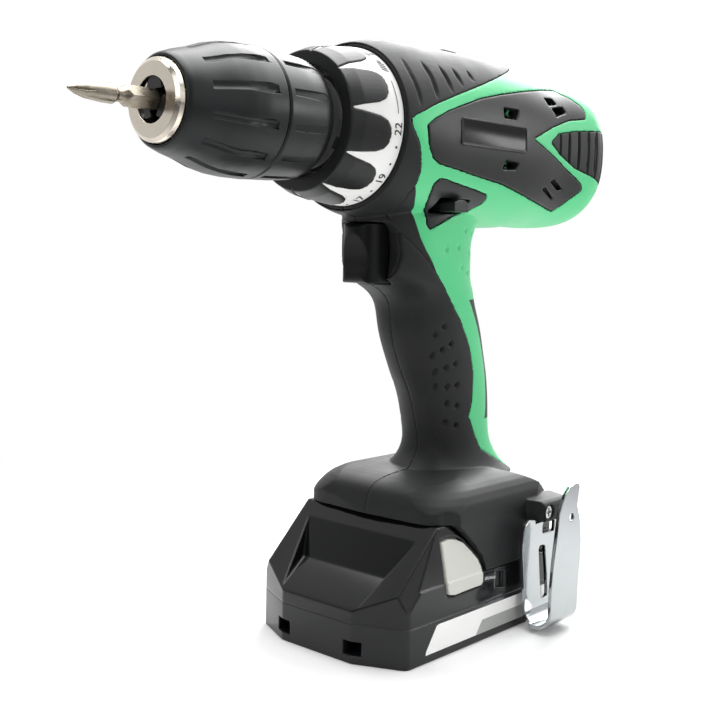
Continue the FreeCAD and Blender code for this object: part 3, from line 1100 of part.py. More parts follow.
def edge_bevels(depth):
    """Wedges off the front block's leaning sides and off the edges of its slope."""
    steep = math.hypot(1, SLOPE_RATIO)
    reach = depth * 1.6
    chamfer = [(-3, -3), (-3, 5.6 + reach), (0, 3.7 + reach), (6 + reach, 0), (8 + reach, -1.2), (8 + reach, -3)]
    wedges = []
    for side in (-1, 1):
        out = HALF_WIDTH + 1
        lean = [(out, SKIRT_Z), (HALF_WIDTH - 0.5 - depth, SKIRT_Z), (HALF_WIDTH - 4 - depth, BATTERY_CROWN + 1), (out, 55)]
        end = polygon([Vector(BATTERY_FRONT - 2, side * y, z) for y, z in lean])
        wedges.append(Part.Face(end).extrude(Vector(3 - BATTERY_FRONT, 0, 0)))
        corners = [Vector(BATTERY_FRONT - 6 + u * SLOPE_RATIO / steep, side * (HALF_WIDTH - v),
                          SLOPE_START - 6 * SLOPE_RATIO - u / steep) for u, v in chamfer]
        wedges.append(Part.Face(polygon(corners)).extrude(Vector(44, 0, 44 * SLOPE_RATIO)))
    return wedges


bevels = edge_bevels(0)
pack_hollow = pack_form(BATTERY_WALL).cut(edge_bevels(BATTERY_WALL))
SCOOP_HALF_LOW = FRONT_FLAT + 1  # half width of the finger scoop at its lower and upper ends
SCOOP_HALF_HIGH = 28.7
scoop_fan = Part.Face(polygon([
    Vector(BATTERY_FRONT - 20, -SCOOP_HALF_LOW, SLOPE_START), Vector(BATTERY_FRONT - 20, SCOOP_HALF_LOW, SLOPE_START),
    Vector(BATTERY_FRONT - 20, SCOOP_HALF_HIGH, BATTERY_CROWN - 5),
    Vector(BATTERY_FRONT - 20, -SCOOP_HALF_HIGH, BATTERY_CROWN - 5),
])).extrude(Vector(60, 0, 0))
scoop_side = side_prism([
    (BATTERY_FRONT - 10, SLOPE_START + 1.2), (BATTERY_FRONT + 1, SLOPE_START + 1.2),
    (BATTERY_FRONT + 16.3, SLOPE_START + 9.6), (crown_front - 5.5, BATTERY_CROWN - 5.4),
    (crown_front - 16, BATTERY_CROWN + 7), (BATTERY_FRONT - 10, BATTERY_CROWN + 7),
], -40, 40).common(scoop_fan)
scoop_wall = side_prism([
    (BATTERY_FRONT + 0.5, SLOPE_START - 1), (BATTERY_FRONT + 3.4, SLOPE_START - 1),
    (BATTERY_FRONT + 18.4, SLOPE_START + 7.6), (crown_front - 3.3, BATTERY_CROWN - 5.6),
    (crown_front - 3.3, BATTERY_CROWN - 0.5), (BATTERY_FRONT + 0.5, BATTERY_CROWN - 0.5),
], -SCOOP_HALF_HIGH - 2, SCOOP_HALF_HIGH + 2).common(pack_outer)

LATCH_LINE = [      # release button, as shares of the pack's length and heights
    (0.265, 44.3), (0.306, 44.8), (0.349, 43.9), (0.384, 42), (0.425, 37.7), (0.459, 33.7), (0.475, 30),
    (0.479, 24), (0.467, 22.6), (0.31, 22.4), (0.283, 23), (0.273, 25.4),
]
LATCH_X = -15.5
LATCH_Z = 33.0
LATCH_PROUD = 0.8
latch_outline = [(BATTERY_FRONT + u * BATTERY_LENGTH, z) for u, z in LATCH_LINE]
latch_back = HALF_WIDTH - 5.0
latch_mid = latch_back - 0.3
proud_bevel = bevels[0].copy()
proud_bevel.translate(Vector(0, -LATCH_PROUD, 0))
latch_window = side_prism(grown(latch_outline, CLEAR), -HALF_WIDTH - 5, -latch_back + 1)
latch_frame = side_prism(grown(latch_outline, 3.4), -HALF_WIDTH, -latch_back).common(pack_outer)
latch_face = side_prism(latch_outline, -HALF_WIDTH - LATCH_PROUD, -latch_mid).cut(proud_bevel)
latch_flange = side_prism(grown(latch_outline, 1.2), -latch_mid, -latch_mid + 2).common(pack_form(BATTERY_WALL + CLEAR))
latch_post = rod_y(LATCH_X, LATCH_Z, 1.6, -latch_mid + 1.9, -latch_mid + 4.5)
button = fused([latch_face, latch_flange, latch_post])
export("latch_button_left", button)
export("latch_button_right", mirrored(button))

seat_y = latch_mid - 9.9
latch_seat = block(LATCH_X - 7, LATCH_X + 7, -seat_y, -seat_y + 1.6, 24.2, BATTERY_CROWN - 1).common(pack_outer)
grooves = []
for side_sign in (-1, 1):
    y_in = side_sign * (RAIL_HALF_Y - 2.6)
    y_out = side_sign * (RAIL_HALF_Y + 1)
    grooves.append(block(3.4, BATTERY_REAR + 1, min(y_in, y_out), max(y_in, y_out), RAIL_Z0 - CLEAR, RAIL_Z1 + CLEAR))
blade_slots = [block(TERMINAL_X0 + 3.5, BATTERY_REAR + 1, y - 0.9, y + 0.9, BLADE_LOW - 0.4, BATTERY_DECK + 1)
               for y in blades_y]
groove_backs = [block(1.4, BATTERY_REAR - 0.5, -RAIL_HALF_Y, -RAIL_HALF_Y + 4.4, RAIL_Z0 - 2.2, RAIL_Z1 + 2.2)]
groove_backs.append(mirrored(groove_backs[0]))
upper = block(-100, 100, -60, 60, BATTERY_SPLIT, 80)
lower = block(-100, 100, -60, 60, -10, BATTERY_SPLIT)
top_shell = pack_outer.common(upper).cut(pack_hollow)
latch_supports = [latch_seat, latch_frame, mirrored(latch_seat), mirrored(latch_frame)]
top_shell = top_shell.fuse([scoop_wall.common(upper)] + latch_supports + groove_backs)
top_shell = top_shell.cut([scoop_side, latch_window, mirrored(latch_window)])
top_shell = top_shell.cut(bevels + grooves + blade_slots)
NOTCH_Z0 = 3.0
NOTCH_Z1 = 8.5
notches = [block(BATTERY_FRONT - 1, BATTERY_FRONT + 7, y - 4, y + 4, NOTCH_Z0, NOTCH_Z1) for y in (-18, 18)]
PACK_SCREW_R = 1.5
pack_screw_places = [(BATTERY_FRONT + 8, -25), (BATTERY_FRONT + 8, 25), (BATTERY_REAR - 4, -31), (BATTERY_REAR - 4, 31)]
screw_towers = [rod_z(x, y, 3.6, 1, BATTERY_SPLIT) for x, y in pack_screw_places]
screw_sockets = [rod_z(x, y, 3.3, -1, 4) for x, y in pack_screw_places]
screw_holes = [rod_z(x, y, PACK_SCREW_R + FIT, 3, BATTERY_SPLIT + 7) for x, y in pack_screw_places]
tower_caps = [rod_z(x, y, 3.6, BATTERY_SPLIT, BATTERY_SPLIT + 8) for x, y in pack_screw_places]
tower_caps = [cap.common(pack_outer) for cap in tower_caps]
top_shell = top_shell.fuse(tower_caps).cut(screw_holes)
export("battery_top", largest(top_shell))
base_shell = pack_outer.common(lower).cut(pack_hollow)
towers = [tower.common(pack_outer) for tower in screw_towers]
base_shell = base_shell.fuse(towers).cut(notches + screw_sockets + screw_holes)
export("battery_base", largest(base_shell))
pack_screws = []
for x, y in pack_screw_places:
    head = rod_z(x, y, 2.9, 1.8, 3.9)
    screw_cross = [block(x - 2, x + 2, y - 0.5, y + 0.5, 1.0, 2.8), block(x - 0.5, x + 0.5, y - 2, y + 2, 1.0, 2.8)]
    pack_screws.append(head.fuse(rod_z(x, y, PACK_SCREW_R, 3.9, BATTERY_SPLIT + 6)).cut(screw_cross))
export("battery_screws", grouped(pack_screws))

cell_pitch = 2 * CELL_R + 0.8
cell_z = BATTERY_WALL + CELL_R + 0.2
first_cell = -cell_pitch * (CELL_COUNT - 1) / 2 + 2.5
cells = [rod_y(first_cell + cell_pitch * i, cell_z, CELL_R, -CELL_LENGTH / 2, CELL_LENGTH / 2)
         for i in range(CELL_COUNT)]
export("battery_cells", grouped(cells))
board_z = cell_z + CELL_R + 0.8
board = block(first_cell - 4, BATTERY_REAR - 12, -26.5, 26.5, board_z, board_z + 1.6)
contacts = [block(TERMINAL_X0 + 5, TERMINAL_X0 + 16, y + s * 2.2 - 0.5, y + s * 2.2 + 0.5, board_z + 1.5, BATTERY_DECK - 2.4)
            for y in blades_y for s in (-1, 1)]
export("battery_board", fused([board] + contacts))

latch_coil = spring(6.6, 3.0, 0.5, 3)
coil_start = Vector(LATCH_X, -latch_mid + 2.7, LATCH_Z)
near_coil = laid(latch_coil, coil_start, Vector(0, 1, 0))
export("latch_spring_left", near_coil)
export("latch_spring_right", mirrored(near_coil))

# ---------------------------------------------------------------------- belt hook
HOOK_GAP = 11.6
bend_r = HOOK_GAP / 2
bend_z = bend_r + 3.4
inner_y = -HOOK_Y - HOOK_SHEET
outer_y = inner_y - HOOK_GAP


def hook_strip(x0, x1, inner_top, outer_top):
    """Sheet bent into a U: the leg by the battery, the bend and the outer leg."""
    centre_y = inner_y - HOOK_GAP / 2
    start = inner_y
    mid_r = HOOK_GAP / 2
    big = mid_r + HOOK_SHEET
    edges = [
        Part.LineSegment(Vector(x0, start, inner_top), Vector(x0, start, bend_z)).toShape(),
        Part.Arc(Vector(x0, start, bend_z), Vector(x0, centre_y, bend_z - mid_r),
                 Vector(x0, start - HOOK_GAP, bend_z)).toShape(),
        Part.LineSegment(Vector(x0, start - HOOK_GAP, bend_z), Vector(x0, start - HOOK_GAP, outer_top)).toShape(),
        Part.LineSegment(Vector(x0, start - HOOK_GAP, outer_top),
                         Vector(x0, start - HOOK_GAP - HOOK_SHEET, outer_top)).toShape(),
        Part.LineSegment(Vector(x0, start - HOOK_GAP - HOOK_SHEET, outer_top),
                         Vector(x0, start - HOOK_GAP - HOOK_SHEET, bend_z)).toShape(),
        Part.Arc(Vector(x0, start - HOOK_GAP - HOOK_SHEET, bend_z), Vector(x0, centre_y, bend_z - big),
                 Vector(x0, start + HOOK_SHEET, bend_z)).toShape(),
        Part.LineSegment(Vector(x0, start + HOOK_SHEET, bend_z), Vector(x0, start + HOOK_SHEET, inner_top)).toShape(),
        Part.LineSegment(Vector(x0, start + HOOK_SHEET, inner_top), Vector(x0, start, inner_top)).toShape(),
    ]
    return Part.Face(Part.Wire(edges)).extrude(Vector(x1 - x0, 0, 0))


strip = hook_strip(12, 52, LUG_Z1 - 2, FOOT_TOP)
inner_shape = side_prism([
    (LUG_X0 + 3.6, 60), (LUG_X0 + 17.4, 60), (LUG_X0 + 17.4, 49), (LUG_X0 + 16.2, 42), (LUG_X0 + 15.3, 31.6),
    (LUG_X0 + 14.2, 17), (LUG_X0 + 13.6, -5), (LUG_X0 - 6, -5), (LUG_X0 - 6.5, 14), (LUG_X0 - 8, 25),
    (LUG_X0 - 9.2, 33), (LUG_X0 - 9.1, 40), (LUG_X0 - 7.5, 43.6), (LUG_X0 - 4.5, 45.6), (LUG_X0 - 0.6, 45.2),
    (LUG_X0 - 0.6, LUG_Z0 - 0.5), (LUG_X0 + 3.6, LUG_Z0 - 0.5),
], inner_y - 3, 0)
outer_shape = side_prism([
    (LUG_X0 + 10.4, FOOT_TOP - 3.5), (LUG_X0 + 11.2, FOOT_TOP - 5.5), (LUG_X0 + 9.9, 52), (LUG_X0 + 12.5, 45.2),
    (LUG_X0 + 14, 36.5), (LUG_X0 + 13.8, 28.1), (LUG_X0 + 12.9, 19.8), (LUG_X0 + 12.5, -5), (LUG_X0 - 7.6, -5),
    (LUG_X0 - 7.4, 12), (LUG_X0 - 7.2, 20), (LUG_X0 - 6.5, 30), (LUG_X0 - 4.9, 40), (LUG_X0 - 3.4, 50),
    (LUG_X0 - 0.1, 56.8), (LUG_X0 + 3.5, 60), (LUG_X0 + 7, 61.1),
], -90, inner_y - 3)
hook_hole = rod_y(HOOK_SCREW_X, HOOK_SCREW_Z, HOOK_SCREW_R + 0.2, -60, 0)
wide_slot = side_prism([
    (LUG_X0 + 4.8, 38.4), (LUG_X0 + 14.2, 38), (LUG_X0 + 14.4, 43), (LUG_X0 + 5, 43),
], inner_y - 2, 0, 1.2)
long_slot = side_prism([
    (LUG_X0 + 2.3, 33.8), (LUG_X0 + 7.4, 33.4), (LUG_X0 + 9.7, 20), (LUG_X0 + 10.8, 10.5), (LUG_X0 + 5.4, 10.5),
], inner_y - 2, 0, 1.6)
hook = strip.common(inner_shape.fuse(outer_shape)).cut([hook_hole, wide_slot, long_slot])
export("belt_hook", largest(hook))
hook_screw = rod_y(HOOK_SCREW_X, HOOK_SCREW_Z, HOOK_SCREW_R, -HALF_WIDTH - 6.2, -HALF_WIDTH + 3)
head_y = inner_y - FIT
hook_screw_head = rod_y(HOOK_SCREW_X, HOOK_SCREW_Z, 2.6, head_y - 2, head_y)
hook_cross = [block(HOOK_SCREW_X - w, HOOK_SCREW_X + w, head_y - 3, head_y - 1.1, HOOK_SCREW_Z - h, HOOK_SCREW_Z + h)
              for w, h in ((1.8, 0.45), (0.45, 1.8))]
export("hook_screw", fused([hook_screw, hook_screw_head]).cut(hook_cross))
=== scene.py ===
"""Cordless hammer drill driver: the look of each piece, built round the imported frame."""

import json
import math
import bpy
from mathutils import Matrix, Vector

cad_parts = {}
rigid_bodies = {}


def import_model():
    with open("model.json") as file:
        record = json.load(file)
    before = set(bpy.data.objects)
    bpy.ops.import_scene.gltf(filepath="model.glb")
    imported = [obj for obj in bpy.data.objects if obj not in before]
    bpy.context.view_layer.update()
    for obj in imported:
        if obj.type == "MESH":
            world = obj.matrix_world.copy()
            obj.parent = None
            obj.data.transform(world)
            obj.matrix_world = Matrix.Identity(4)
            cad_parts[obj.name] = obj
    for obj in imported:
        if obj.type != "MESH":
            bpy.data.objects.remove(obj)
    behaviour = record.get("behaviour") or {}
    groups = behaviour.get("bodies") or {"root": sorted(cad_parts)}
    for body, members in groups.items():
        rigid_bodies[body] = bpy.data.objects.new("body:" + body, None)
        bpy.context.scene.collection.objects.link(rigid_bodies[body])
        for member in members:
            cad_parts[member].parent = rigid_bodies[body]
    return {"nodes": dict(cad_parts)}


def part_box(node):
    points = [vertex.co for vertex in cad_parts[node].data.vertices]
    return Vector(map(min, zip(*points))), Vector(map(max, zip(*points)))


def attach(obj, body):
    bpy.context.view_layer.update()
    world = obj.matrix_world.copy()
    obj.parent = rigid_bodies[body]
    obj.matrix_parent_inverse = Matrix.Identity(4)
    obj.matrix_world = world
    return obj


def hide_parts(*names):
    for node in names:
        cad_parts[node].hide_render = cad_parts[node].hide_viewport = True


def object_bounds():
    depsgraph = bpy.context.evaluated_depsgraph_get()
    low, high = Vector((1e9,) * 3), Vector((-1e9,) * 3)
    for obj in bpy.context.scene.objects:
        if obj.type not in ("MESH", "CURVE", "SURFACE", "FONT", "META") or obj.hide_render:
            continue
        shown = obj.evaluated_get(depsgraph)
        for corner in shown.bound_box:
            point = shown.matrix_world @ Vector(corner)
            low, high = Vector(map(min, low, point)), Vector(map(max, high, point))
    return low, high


bl_info = {
    "name": "Cordless Drill",
    "version": (1, 0, 0),
    "blender": (4, 5, 0),
    "location": "View3D > Sidebar > Drill",
    "description": "Builds the mouldings, metalwork and finishes of a cordless drill",
    "category": "Object",
}

import bpy
import bmesh
from mathutils import Matrix, Vector
from mathutils.bvhtree import BVHTree

for leftover in list(bpy.data.objects):
    bpy.data.objects.remove(leftover)
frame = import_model()
CAD_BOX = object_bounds()

MM = 0.001
AXIS_Z = sum(c.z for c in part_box("chuck_body")) / 2     # height of the spindle
NODES = frame["nodes"]
SIDES = ((-1, "left"), (1, "right"))    # the sign of Y on each side
FAR_Y = 0.2                             # a place outside the object, to look in from
FIRM_SHARE = 0.2                        # how much of the smoothing reaches a firm part


# ---- small tools
def tone(hex_code):
    """Linear colour with alpha from an sRGB hex value."""
    parts = [int(hex_code[i:i + 2], 16) / 255 for i in (1, 3, 5)]
    return tuple(c / 12.92 if c < 0.04045 else ((c + 0.055) / 1.055) ** 2.4 for c in parts) + (1.0,)


def add(tree, kind, wires=None, **settings):
    """Adds a node with its settings. wires gives each input a value, an output, or a
    node, which stands for its first output."""
    node = tree.nodes.new(kind)
    for name, value in settings.items():
        setattr(node, name, value)
    for name, value in (wires or {}).items():
        if isinstance(value, bpy.types.Node):
            value = value.outputs[0]
        if isinstance(value, bpy.types.NodeSocket):
            tree.links.new(value, node.inputs[name])
        else:
            node.inputs[name].default_value = value
    return node


def placed(name, mesh):
    piece = bpy.data.objects.new(name, mesh)
    bpy.context.scene.collection.objects.link(piece)
    return piece


def mesh_of(name, shape):
    """The mesh that a bmesh has come to."""
    mesh = bpy.data.meshes.new(name)
    shape.to_mesh(mesh)
    shape.free()
    return mesh


def merged(name, node):
    """A welded copy of a CAD node, to be worked on."""
    shape = bmesh.new()
    shape.from_mesh(NODES[node].data)
    bmesh.ops.remove_doubles(shape, verts=shape.verts, dist=1e-6)
    mesh = mesh_of(name, shape)
    if "custom_normal" in mesh.attributes:
        mesh.attributes.remove(mesh.attributes["custom_normal"])
    mesh.materials.clear()
    return placed(name, mesh)


def evaluated_mesh(piece):
    graph = bpy.context.evaluated_depsgraph_get()
    return bpy.data.meshes.new_from_object(piece.evaluated_get(graph))


def settled(piece):
    """Turns a piece and its modifiers into one plain mesh."""
    mesh = evaluated_mesh(piece)
    old = piece.data
    piece.modifiers.clear()
    piece.data = mesh
    bpy.data.meshes.remove(old)
    mesh.name = piece.name
    return piece


def dressed(piece, body, finish, node=None):
    """Gives a finished piece its material, its body and the node it stands for."""
    piece.data.materials.clear()
    piece.data.materials.append(bpy.data.materials[finish])
    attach(piece, body)
    if node:
        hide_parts(node)


def carve(piece, operation, tools):
    """Joins tools to a piece, or cuts them out of it, once it is settled."""
    for tool in tools:
        step = piece.modifiers.new(operation.lower(), "BOOLEAN")
        step.operation, step.solver, step.object = operation, "MANIFOLD", tool


def moulding(name, node, cell, rounds, keep, cuts=(), firm=0.0):
    """A moulded piece from its CAD node: cut, then its edges softened all over.

    cell is the size of the remesh, rounds how often it is smoothed, keep the share
    of its faces that is kept where it is flat, and firm the height in mm under which
    it is hardly smoothed, so that it closes up to its neighbour there."""
    piece = merged(name, node)
    carve(piece, "DIFFERENCE", cuts)
    remesh = piece.modifiers.new("remesh", "REMESH")
    remesh.mode, remesh.voxel_size = "VOXEL", cell
    settled(piece)
    soft = piece.vertex_groups.new(name="soft")
    for vertex in piece.data.vertices:
        soft.add([vertex.index], FIRM_SHARE if vertex.co.z < firm * MM else 1.0, "REPLACE")
    soften = piece.modifiers.new("soften", "SMOOTH")
    soften.factor, soften.iterations, soften.vertex_group = 0.5, rounds, "soft"
    thin = piece.modifiers.new("thin", "DECIMATE")
    thin.ratio = keep
    settled(piece)
    low, high = CAD_BOX
    for vertex in piece.data.vertices:
        vertex.co = [min(max(c, least), most) for c, least, most in zip(vertex.co, low, high)]
    piece.data.shade_smooth()
    for tool in cuts:
        bpy.data.objects.remove(tool)
    return piece


def crisp(name, node, angle=28, cuts=(), joins=()):
    """A welded copy of a CAD node that keeps its edges, shaded smooth between them."""
    piece = merged(name, node)
    carve(piece, "UNION", joins)
    carve(piece, "DIFFERENCE", cuts)
    if cuts or joins:
        settled(piece)
    for tool in [*cuts, *joins]:
        bpy.data.objects.remove(tool)
    piece.data.shade_smooth()
    piece.data.set_sharp_from_angle(angle=math.radians(angle))
    return piece


def loft(name, rings, split_caps=False):
    """A closed piece through rings of points, each with the same number of points."""
    shape = bmesh.new()
    levels = [[shape.verts.new(point) for point in ring] for ring in rings]
    count = len(levels[0])
    for low, high in zip(levels, levels[1:]):
        for i in range(count):
            j = (i + 1) % count
            shape.faces.new((low[i], low[j], high[j], high[i]))
    for ring in (levels[0], levels[-1]):
        shape.faces.new(ring)
    if split_caps:
        bmesh.ops.triangulate(shape, faces=[face for face in shape.faces if len(face.verts) > 4])
    bmesh.ops.recalc_face_normals(shape, faces=shape.faces)
    return placed(name, mesh_of(name, shape))


def prism(name, outline, low, high):
    """A closed block from (x, z) corners in mm, between two values of Y in metres."""
    return loft(name, [[(x * MM, y, z * MM) for x, z in outline] for y in (low, high)])


def tree_of(meshes):
    """One tree of several meshes' faces, to cast rays at."""
    corners, faces = [], []
    for mesh in meshes:
        start = len(corners)
        corners += [v.co.copy() for v in mesh.vertices]
        faces += [[start + i for i in p.vertices] for p in mesh.polygons]
    return BVHTree.FromPolygons(corners, faces)


def skin_of(*nodes):
    """A tree of the nodes' faces, to find their surface with."""
    return tree_of([NODES[node].data for node in nodes])


def seen_from(skin, x, z, side):
    """Point and normal where a ray from that side first meets the skin, or None twice."""
    return skin.ray_cast(Vector((x * MM, side * FAR_Y, z * MM)), Vector((0, -side, 0)))[:2]


def on_side(skin, x, z, side):
    """Point and outward normal of the surface at (x, z) in mm, seen from that side."""
    place, normal = seen_from(skin, x, z, side)
    if place is None:
        raise ValueError(f"no surface at {x}, {z}")
    return place, normal if normal.y * side > 0 else -normal


def round_axis(skin, x, degrees, lift=0.0):
    """Point on the surface round the spindle. Degrees run up from the left side."""
    turn = math.radians(degrees)
    out = Vector((0, -math.cos(turn), math.sin(turn)))
    centre = Vector((x * MM, 0, AXIS_Z))
    place, _, _, _ = skin.ray_cast(centre + out * 0.08, -out)
    if place is None:
        raise ValueError(f"no surface at {x}, {degrees}")
    return place + out * lift


# ---- geometry node trees
def new_tree(name, sizes):
    """A geometry tree with a mesh input, named number inputs and a material input."""
    tree = bpy.data.node_groups.new(name, "GeometryNodeTree")
    tree.interface.new_socket("Marks", in_out="INPUT", socket_type="NodeSocketGeometry")
    for label, value in sizes.items():
        kind = "NodeSocketInt" if isinstance(value, int) else "NodeSocketFloat"
        socket = tree.interface.new_socket(label, in_out="INPUT", socket_type=kind)
        socket.default_value = value
    tree.interface.new_socket("Material", in_out="INPUT", socket_type="NodeSocketMaterial")
    tree.interface.new_socket("Mesh", in_out="OUTPUT", socket_type="NodeSocketGeometry")
    return tree, add(tree, "NodeGroupInput").outputs


def closed_tree(tree, given, geometry):
    """Ends a tree in Realize Instances and Set Material."""
    real = add(tree, "GeometryNodeRealizeInstances", {"Geometry": geometry})
    paint = add(tree, "GeometryNodeSetMaterial",
                {"Geometry": real, "Material": given["Material"]})
    add(tree, "NodeGroupOutput", {"Mesh": paint})
    return tree


def mark_value(tree, name, kind="FLOAT_VECTOR"):
    return add(tree, "GeometryNodeInputNamedAttribute", {"Name": name}, data_type=kind)


def bead_tree():
    """Sets an oval bead on each mark, standing along 'aim' and turned to 'along'."""
    tree, given = new_tree("beads_on_marks", {"Segments": 16, "Rings": 10})
    aim, along, size = [mark_value(tree, name) for name in ("aim", "along", "size")]
    stand = add(tree, "FunctionNodeAlignRotationToVector", {"Vector": aim}, axis="Z")
    turn = add(tree, "FunctionNodeAlignRotationToVector",
               {"Rotation": stand, "Vector": along}, axis="X", pivot_axis="Z")
    bead = add(tree, "GeometryNodeMeshUVSphere",
               {"Segments": given["Segments"], "Rings": given["Rings"], "Radius": 1.0})
    beads = add(tree, "GeometryNodeInstanceOnPoints",
                {"Points": given["Marks"], "Instance": bead,
                 "Rotation": turn, "Scale": size})
    return closed_tree(tree, given, beads)


def rod_tree():
    """Runs a round rod along each marked line, as thick as its 'thick' says."""
    tree, given = new_tree("rods_on_lines", {"Sides": 8})
    thick = mark_value(tree, "thick", "FLOAT")
    line = add(tree, "GeometryNodeMeshToCurve", {"Mesh": given["Marks"]})
    sized = add(tree, "GeometryNodeSetCurveRadius",
                {"Curve": line, "Radius": thick})
    ring = add(tree, "GeometryNodeCurvePrimitiveCircle",
               {"Resolution": given["Sides"], "Radius": 1.0})
    wires = {"Curve": sized, "Profile Curve": ring, "Fill Caps": True}
    rod = add(tree, "GeometryNodeCurveToMesh", wires)
    if "Scale" in rod.inputs:
        tree.links.new(thick.outputs[0], rod.inputs["Scale"])
    return closed_tree(tree, given, rod)


def grown(name, tree, mesh, finish=None, **sizes):
    """The plain mesh that a tree makes of some marks. A cutting tool has no finish."""
    piece = placed(name, mesh)
    grow = piece.modifiers.new("grow", "NODES")
    grow.node_group = tree
    for socket in tree.interface.items_tree:
        if socket.in_out == "INPUT" and socket.name in sizes:
            grow[socket.identifier] = sizes[socket.name]
        if socket.in_out == "INPUT" and socket.name == "Material" and finish:
            grow[socket.identifier] = bpy.data.materials[finish]
    return settled(piece)


def beads(name, marks, finish=None, **sizes):
    """marks holds (point, normal, direction, (length, width, depth))."""
    mesh = bpy.data.meshes.new(name)
    mesh.from_pydata([m[0] for m in marks], [], [])
    for column, label in enumerate(("aim", "along", "size"), 1):
        values = mesh.attributes.new(label, "FLOAT_VECTOR", "POINT")
        values.data.foreach_set("vector", [c for m in marks for c in m[column]])
    return grown(name, TREES["beads"], mesh, finish, **sizes)


def rods(name, lines, **sizes):
    """lines holds lists of (point, thickness)."""
    points, edges, widths = [], [], []
    for line in lines:
        start = len(points)
        points += [p for p, _ in line]
        widths += [w for _, w in line]
        edges += [(start + i, start + i + 1) for i in range(len(line) - 1)]
    mesh = bpy.data.meshes.new(name)
    mesh.from_pydata(points, edges, [])
    mesh.attributes.new("thick", "FLOAT", "POINT").data.foreach_set("value", widths)
    return grown(name, TREES["rods"], mesh, **sizes)


def dimples(skin, places, side, lift, lean, size):
    """A tool that presses a dimple at each (x, z) in mm, leaning to the back."""
    marks = []
    for x, z in places:
        place, normal = on_side(skin, x, z, side)
        marks.append((place + normal * lift, normal, Vector((lean, 0, 1)), size))
    return beads("dimples", marks)


LINE_STEP = 1.2         # mm between the points of a line
TAPER_POINTS = 2.5      # points over which a line thins out at each end
TIP_SHARE = 0.35        # its thickness at the very end


def line_on(skin, corners, side, width, sink=0.0):
    """A line over the surface through (x, z) corners in mm, thinning out at both ends."""
    path = []
    for (x0, z0), (x1, z1) in zip(corners, corners[1:]):
        count = max(2, round(math.hypot(x1 - x0, z1 - z0) / LINE_STEP))
        path += [(x0 + (x1 - x0) * i / count, z0 + (z1 - z0) * i / count) for i in range(count)]
    path.append(corners[-1])
    line = []
    for i, (x, z) in enumerate(path):
        place, normal = on_side(skin, x, z, side)
        end = min(i, len(path) - 1 - i) / TAPER_POINTS
        line.append((place - normal * sink, width * min(1.0, TIP_SHARE + (1 - TIP_SHARE) * end)))
    return line


TREES = {"beads": bead_tree(), "rods": rod_tree()}


# ---- materials
def blank(kind, name):
    """A new material or world with an empty node tree, and that tree."""
    holder = kind.new(name)
    holder.use_nodes = True
    holder.node_tree.nodes.clear()
    return holder, holder.node_tree


def noise(tree, place, scale, detail):
    wires = {"Vector": place, "Scale": scale, "Detail": detail}
    return add(tree, "ShaderNodeTexNoise", wires)


def ramp(tree, value, low, high, bottom=0.0, top=1.0, kind="LINEAR"):
    """Runs from bottom to top while the value runs from low to high."""
    wires = {"Value": value, "From Min": low, "From Max": high, "To Min": bottom, "To Max": top}
    return add(tree, "ShaderNodeMapRange", wires, interpolation_type=kind)


def mixed(tree, share, first, second):
    wires = {0: share, 6: first, 7: second}
    return add(tree, "ShaderNodeMix", wires, data_type="RGBA").outputs[2]


def times(colour, factor):
    return tuple(c * factor for c in colour[:3]) + (1.0,)


def relief_over(tree, height, depth, edge):
    """The normal of a fine relief, over edges that catch the light as if rounded."""
    wires = {"Height": height, "Distance": depth, "Strength": 1.0}
    if edge:
        wires["Normal"] = add(tree, "ShaderNodeBevel", {"Radius": edge}, samples=6)
    return add(tree, "ShaderNodeBump", wires)


def plastic(name, hex_code, roughness, grain=0.9, relief=0.02, mottle=0.08, edge=0.0,
            coat=0.0, sheen=0.0, worn=None, shine=0.5):
    """Moulded plastic or rubber. The eroded grain of a real mould is about 0.1 mm,
    too fine to show, so it is drawn at the size given here. Sizes are in mm."""
    tree = blank(bpy.data.materials, name)[1]
    place = add(tree, "ShaderNodeTexCoord").outputs["Object"]
    eroded = noise(tree, place, 1 / (grain * MM), 2.0)
    cloud = noise(tree, place, 45.0, 3.0)
    base = tone(hex_code)
    colour = mixed(tree, cloud, times(base, 1 - mottle), times(base, 1 + mottle))
    if worn:
        shape = add(tree, "ShaderNodeNewGeometry").outputs["Pointiness"]
        colour = mixed(tree, ramp(tree, shape, 0.56, 0.7, top=0.35), colour, tone(worn))
    gloss = ramp(tree, cloud, 0.3, 0.7, roughness * 0.88, roughness * 1.12)
    shader = add(tree, "ShaderNodeBsdfPrincipled", {
        "Base Color": colour, "Roughness": gloss, "Normal": relief_over(tree, eroded, relief * MM, edge * MM),
        "IOR": 1.5, "Specular IOR Level": shine, "Coat Weight": coat, "Coat Roughness": 0.08,
        "Sheen Weight": sheen, "Sheen Roughness": 0.5})
    add(tree, "ShaderNodeOutputMaterial", {"Surface": shader})


def metal(name, hex_code, roughness, grain=(1.0, 1.0, 1.0), size=0.8, relief=0.004,
          edge=0.3, stain=None, stain_share=0.3):
    """Worked metal. grain stretches its marks along an axis, as grinding or turning does.
    Sizes are in mm."""
    tree = blank(bpy.data.materials, name)[1]
    place = add(tree, "ShaderNodeTexCoord").outputs["Object"]
    drawn = add(tree, "ShaderNodeMapping", {"Vector": place, "Scale": grain})
    marks = noise(tree, drawn, 1 / (size * MM), 3.0)
    cloud = noise(tree, place, 120.0, 3.0)
    base = tone(hex_code)
    other = tone(stain) if stain else times(base, 0.8)
    colour = mixed(tree, ramp(tree, cloud, 0.4, 0.75, top=stain_share), base, other)
    gloss = ramp(tree, marks, 0.3, 0.7, roughness * 0.75, roughness * 1.25)
    shader = add(tree, "ShaderNodeBsdfPrincipled", {
        "Base Color": colour, "Metallic": 1.0, "Roughness": gloss,
        "Normal": relief_over(tree, marks, relief * MM, edge * MM)})
    add(tree, "ShaderNodeOutputMaterial", {"Surface": shader})


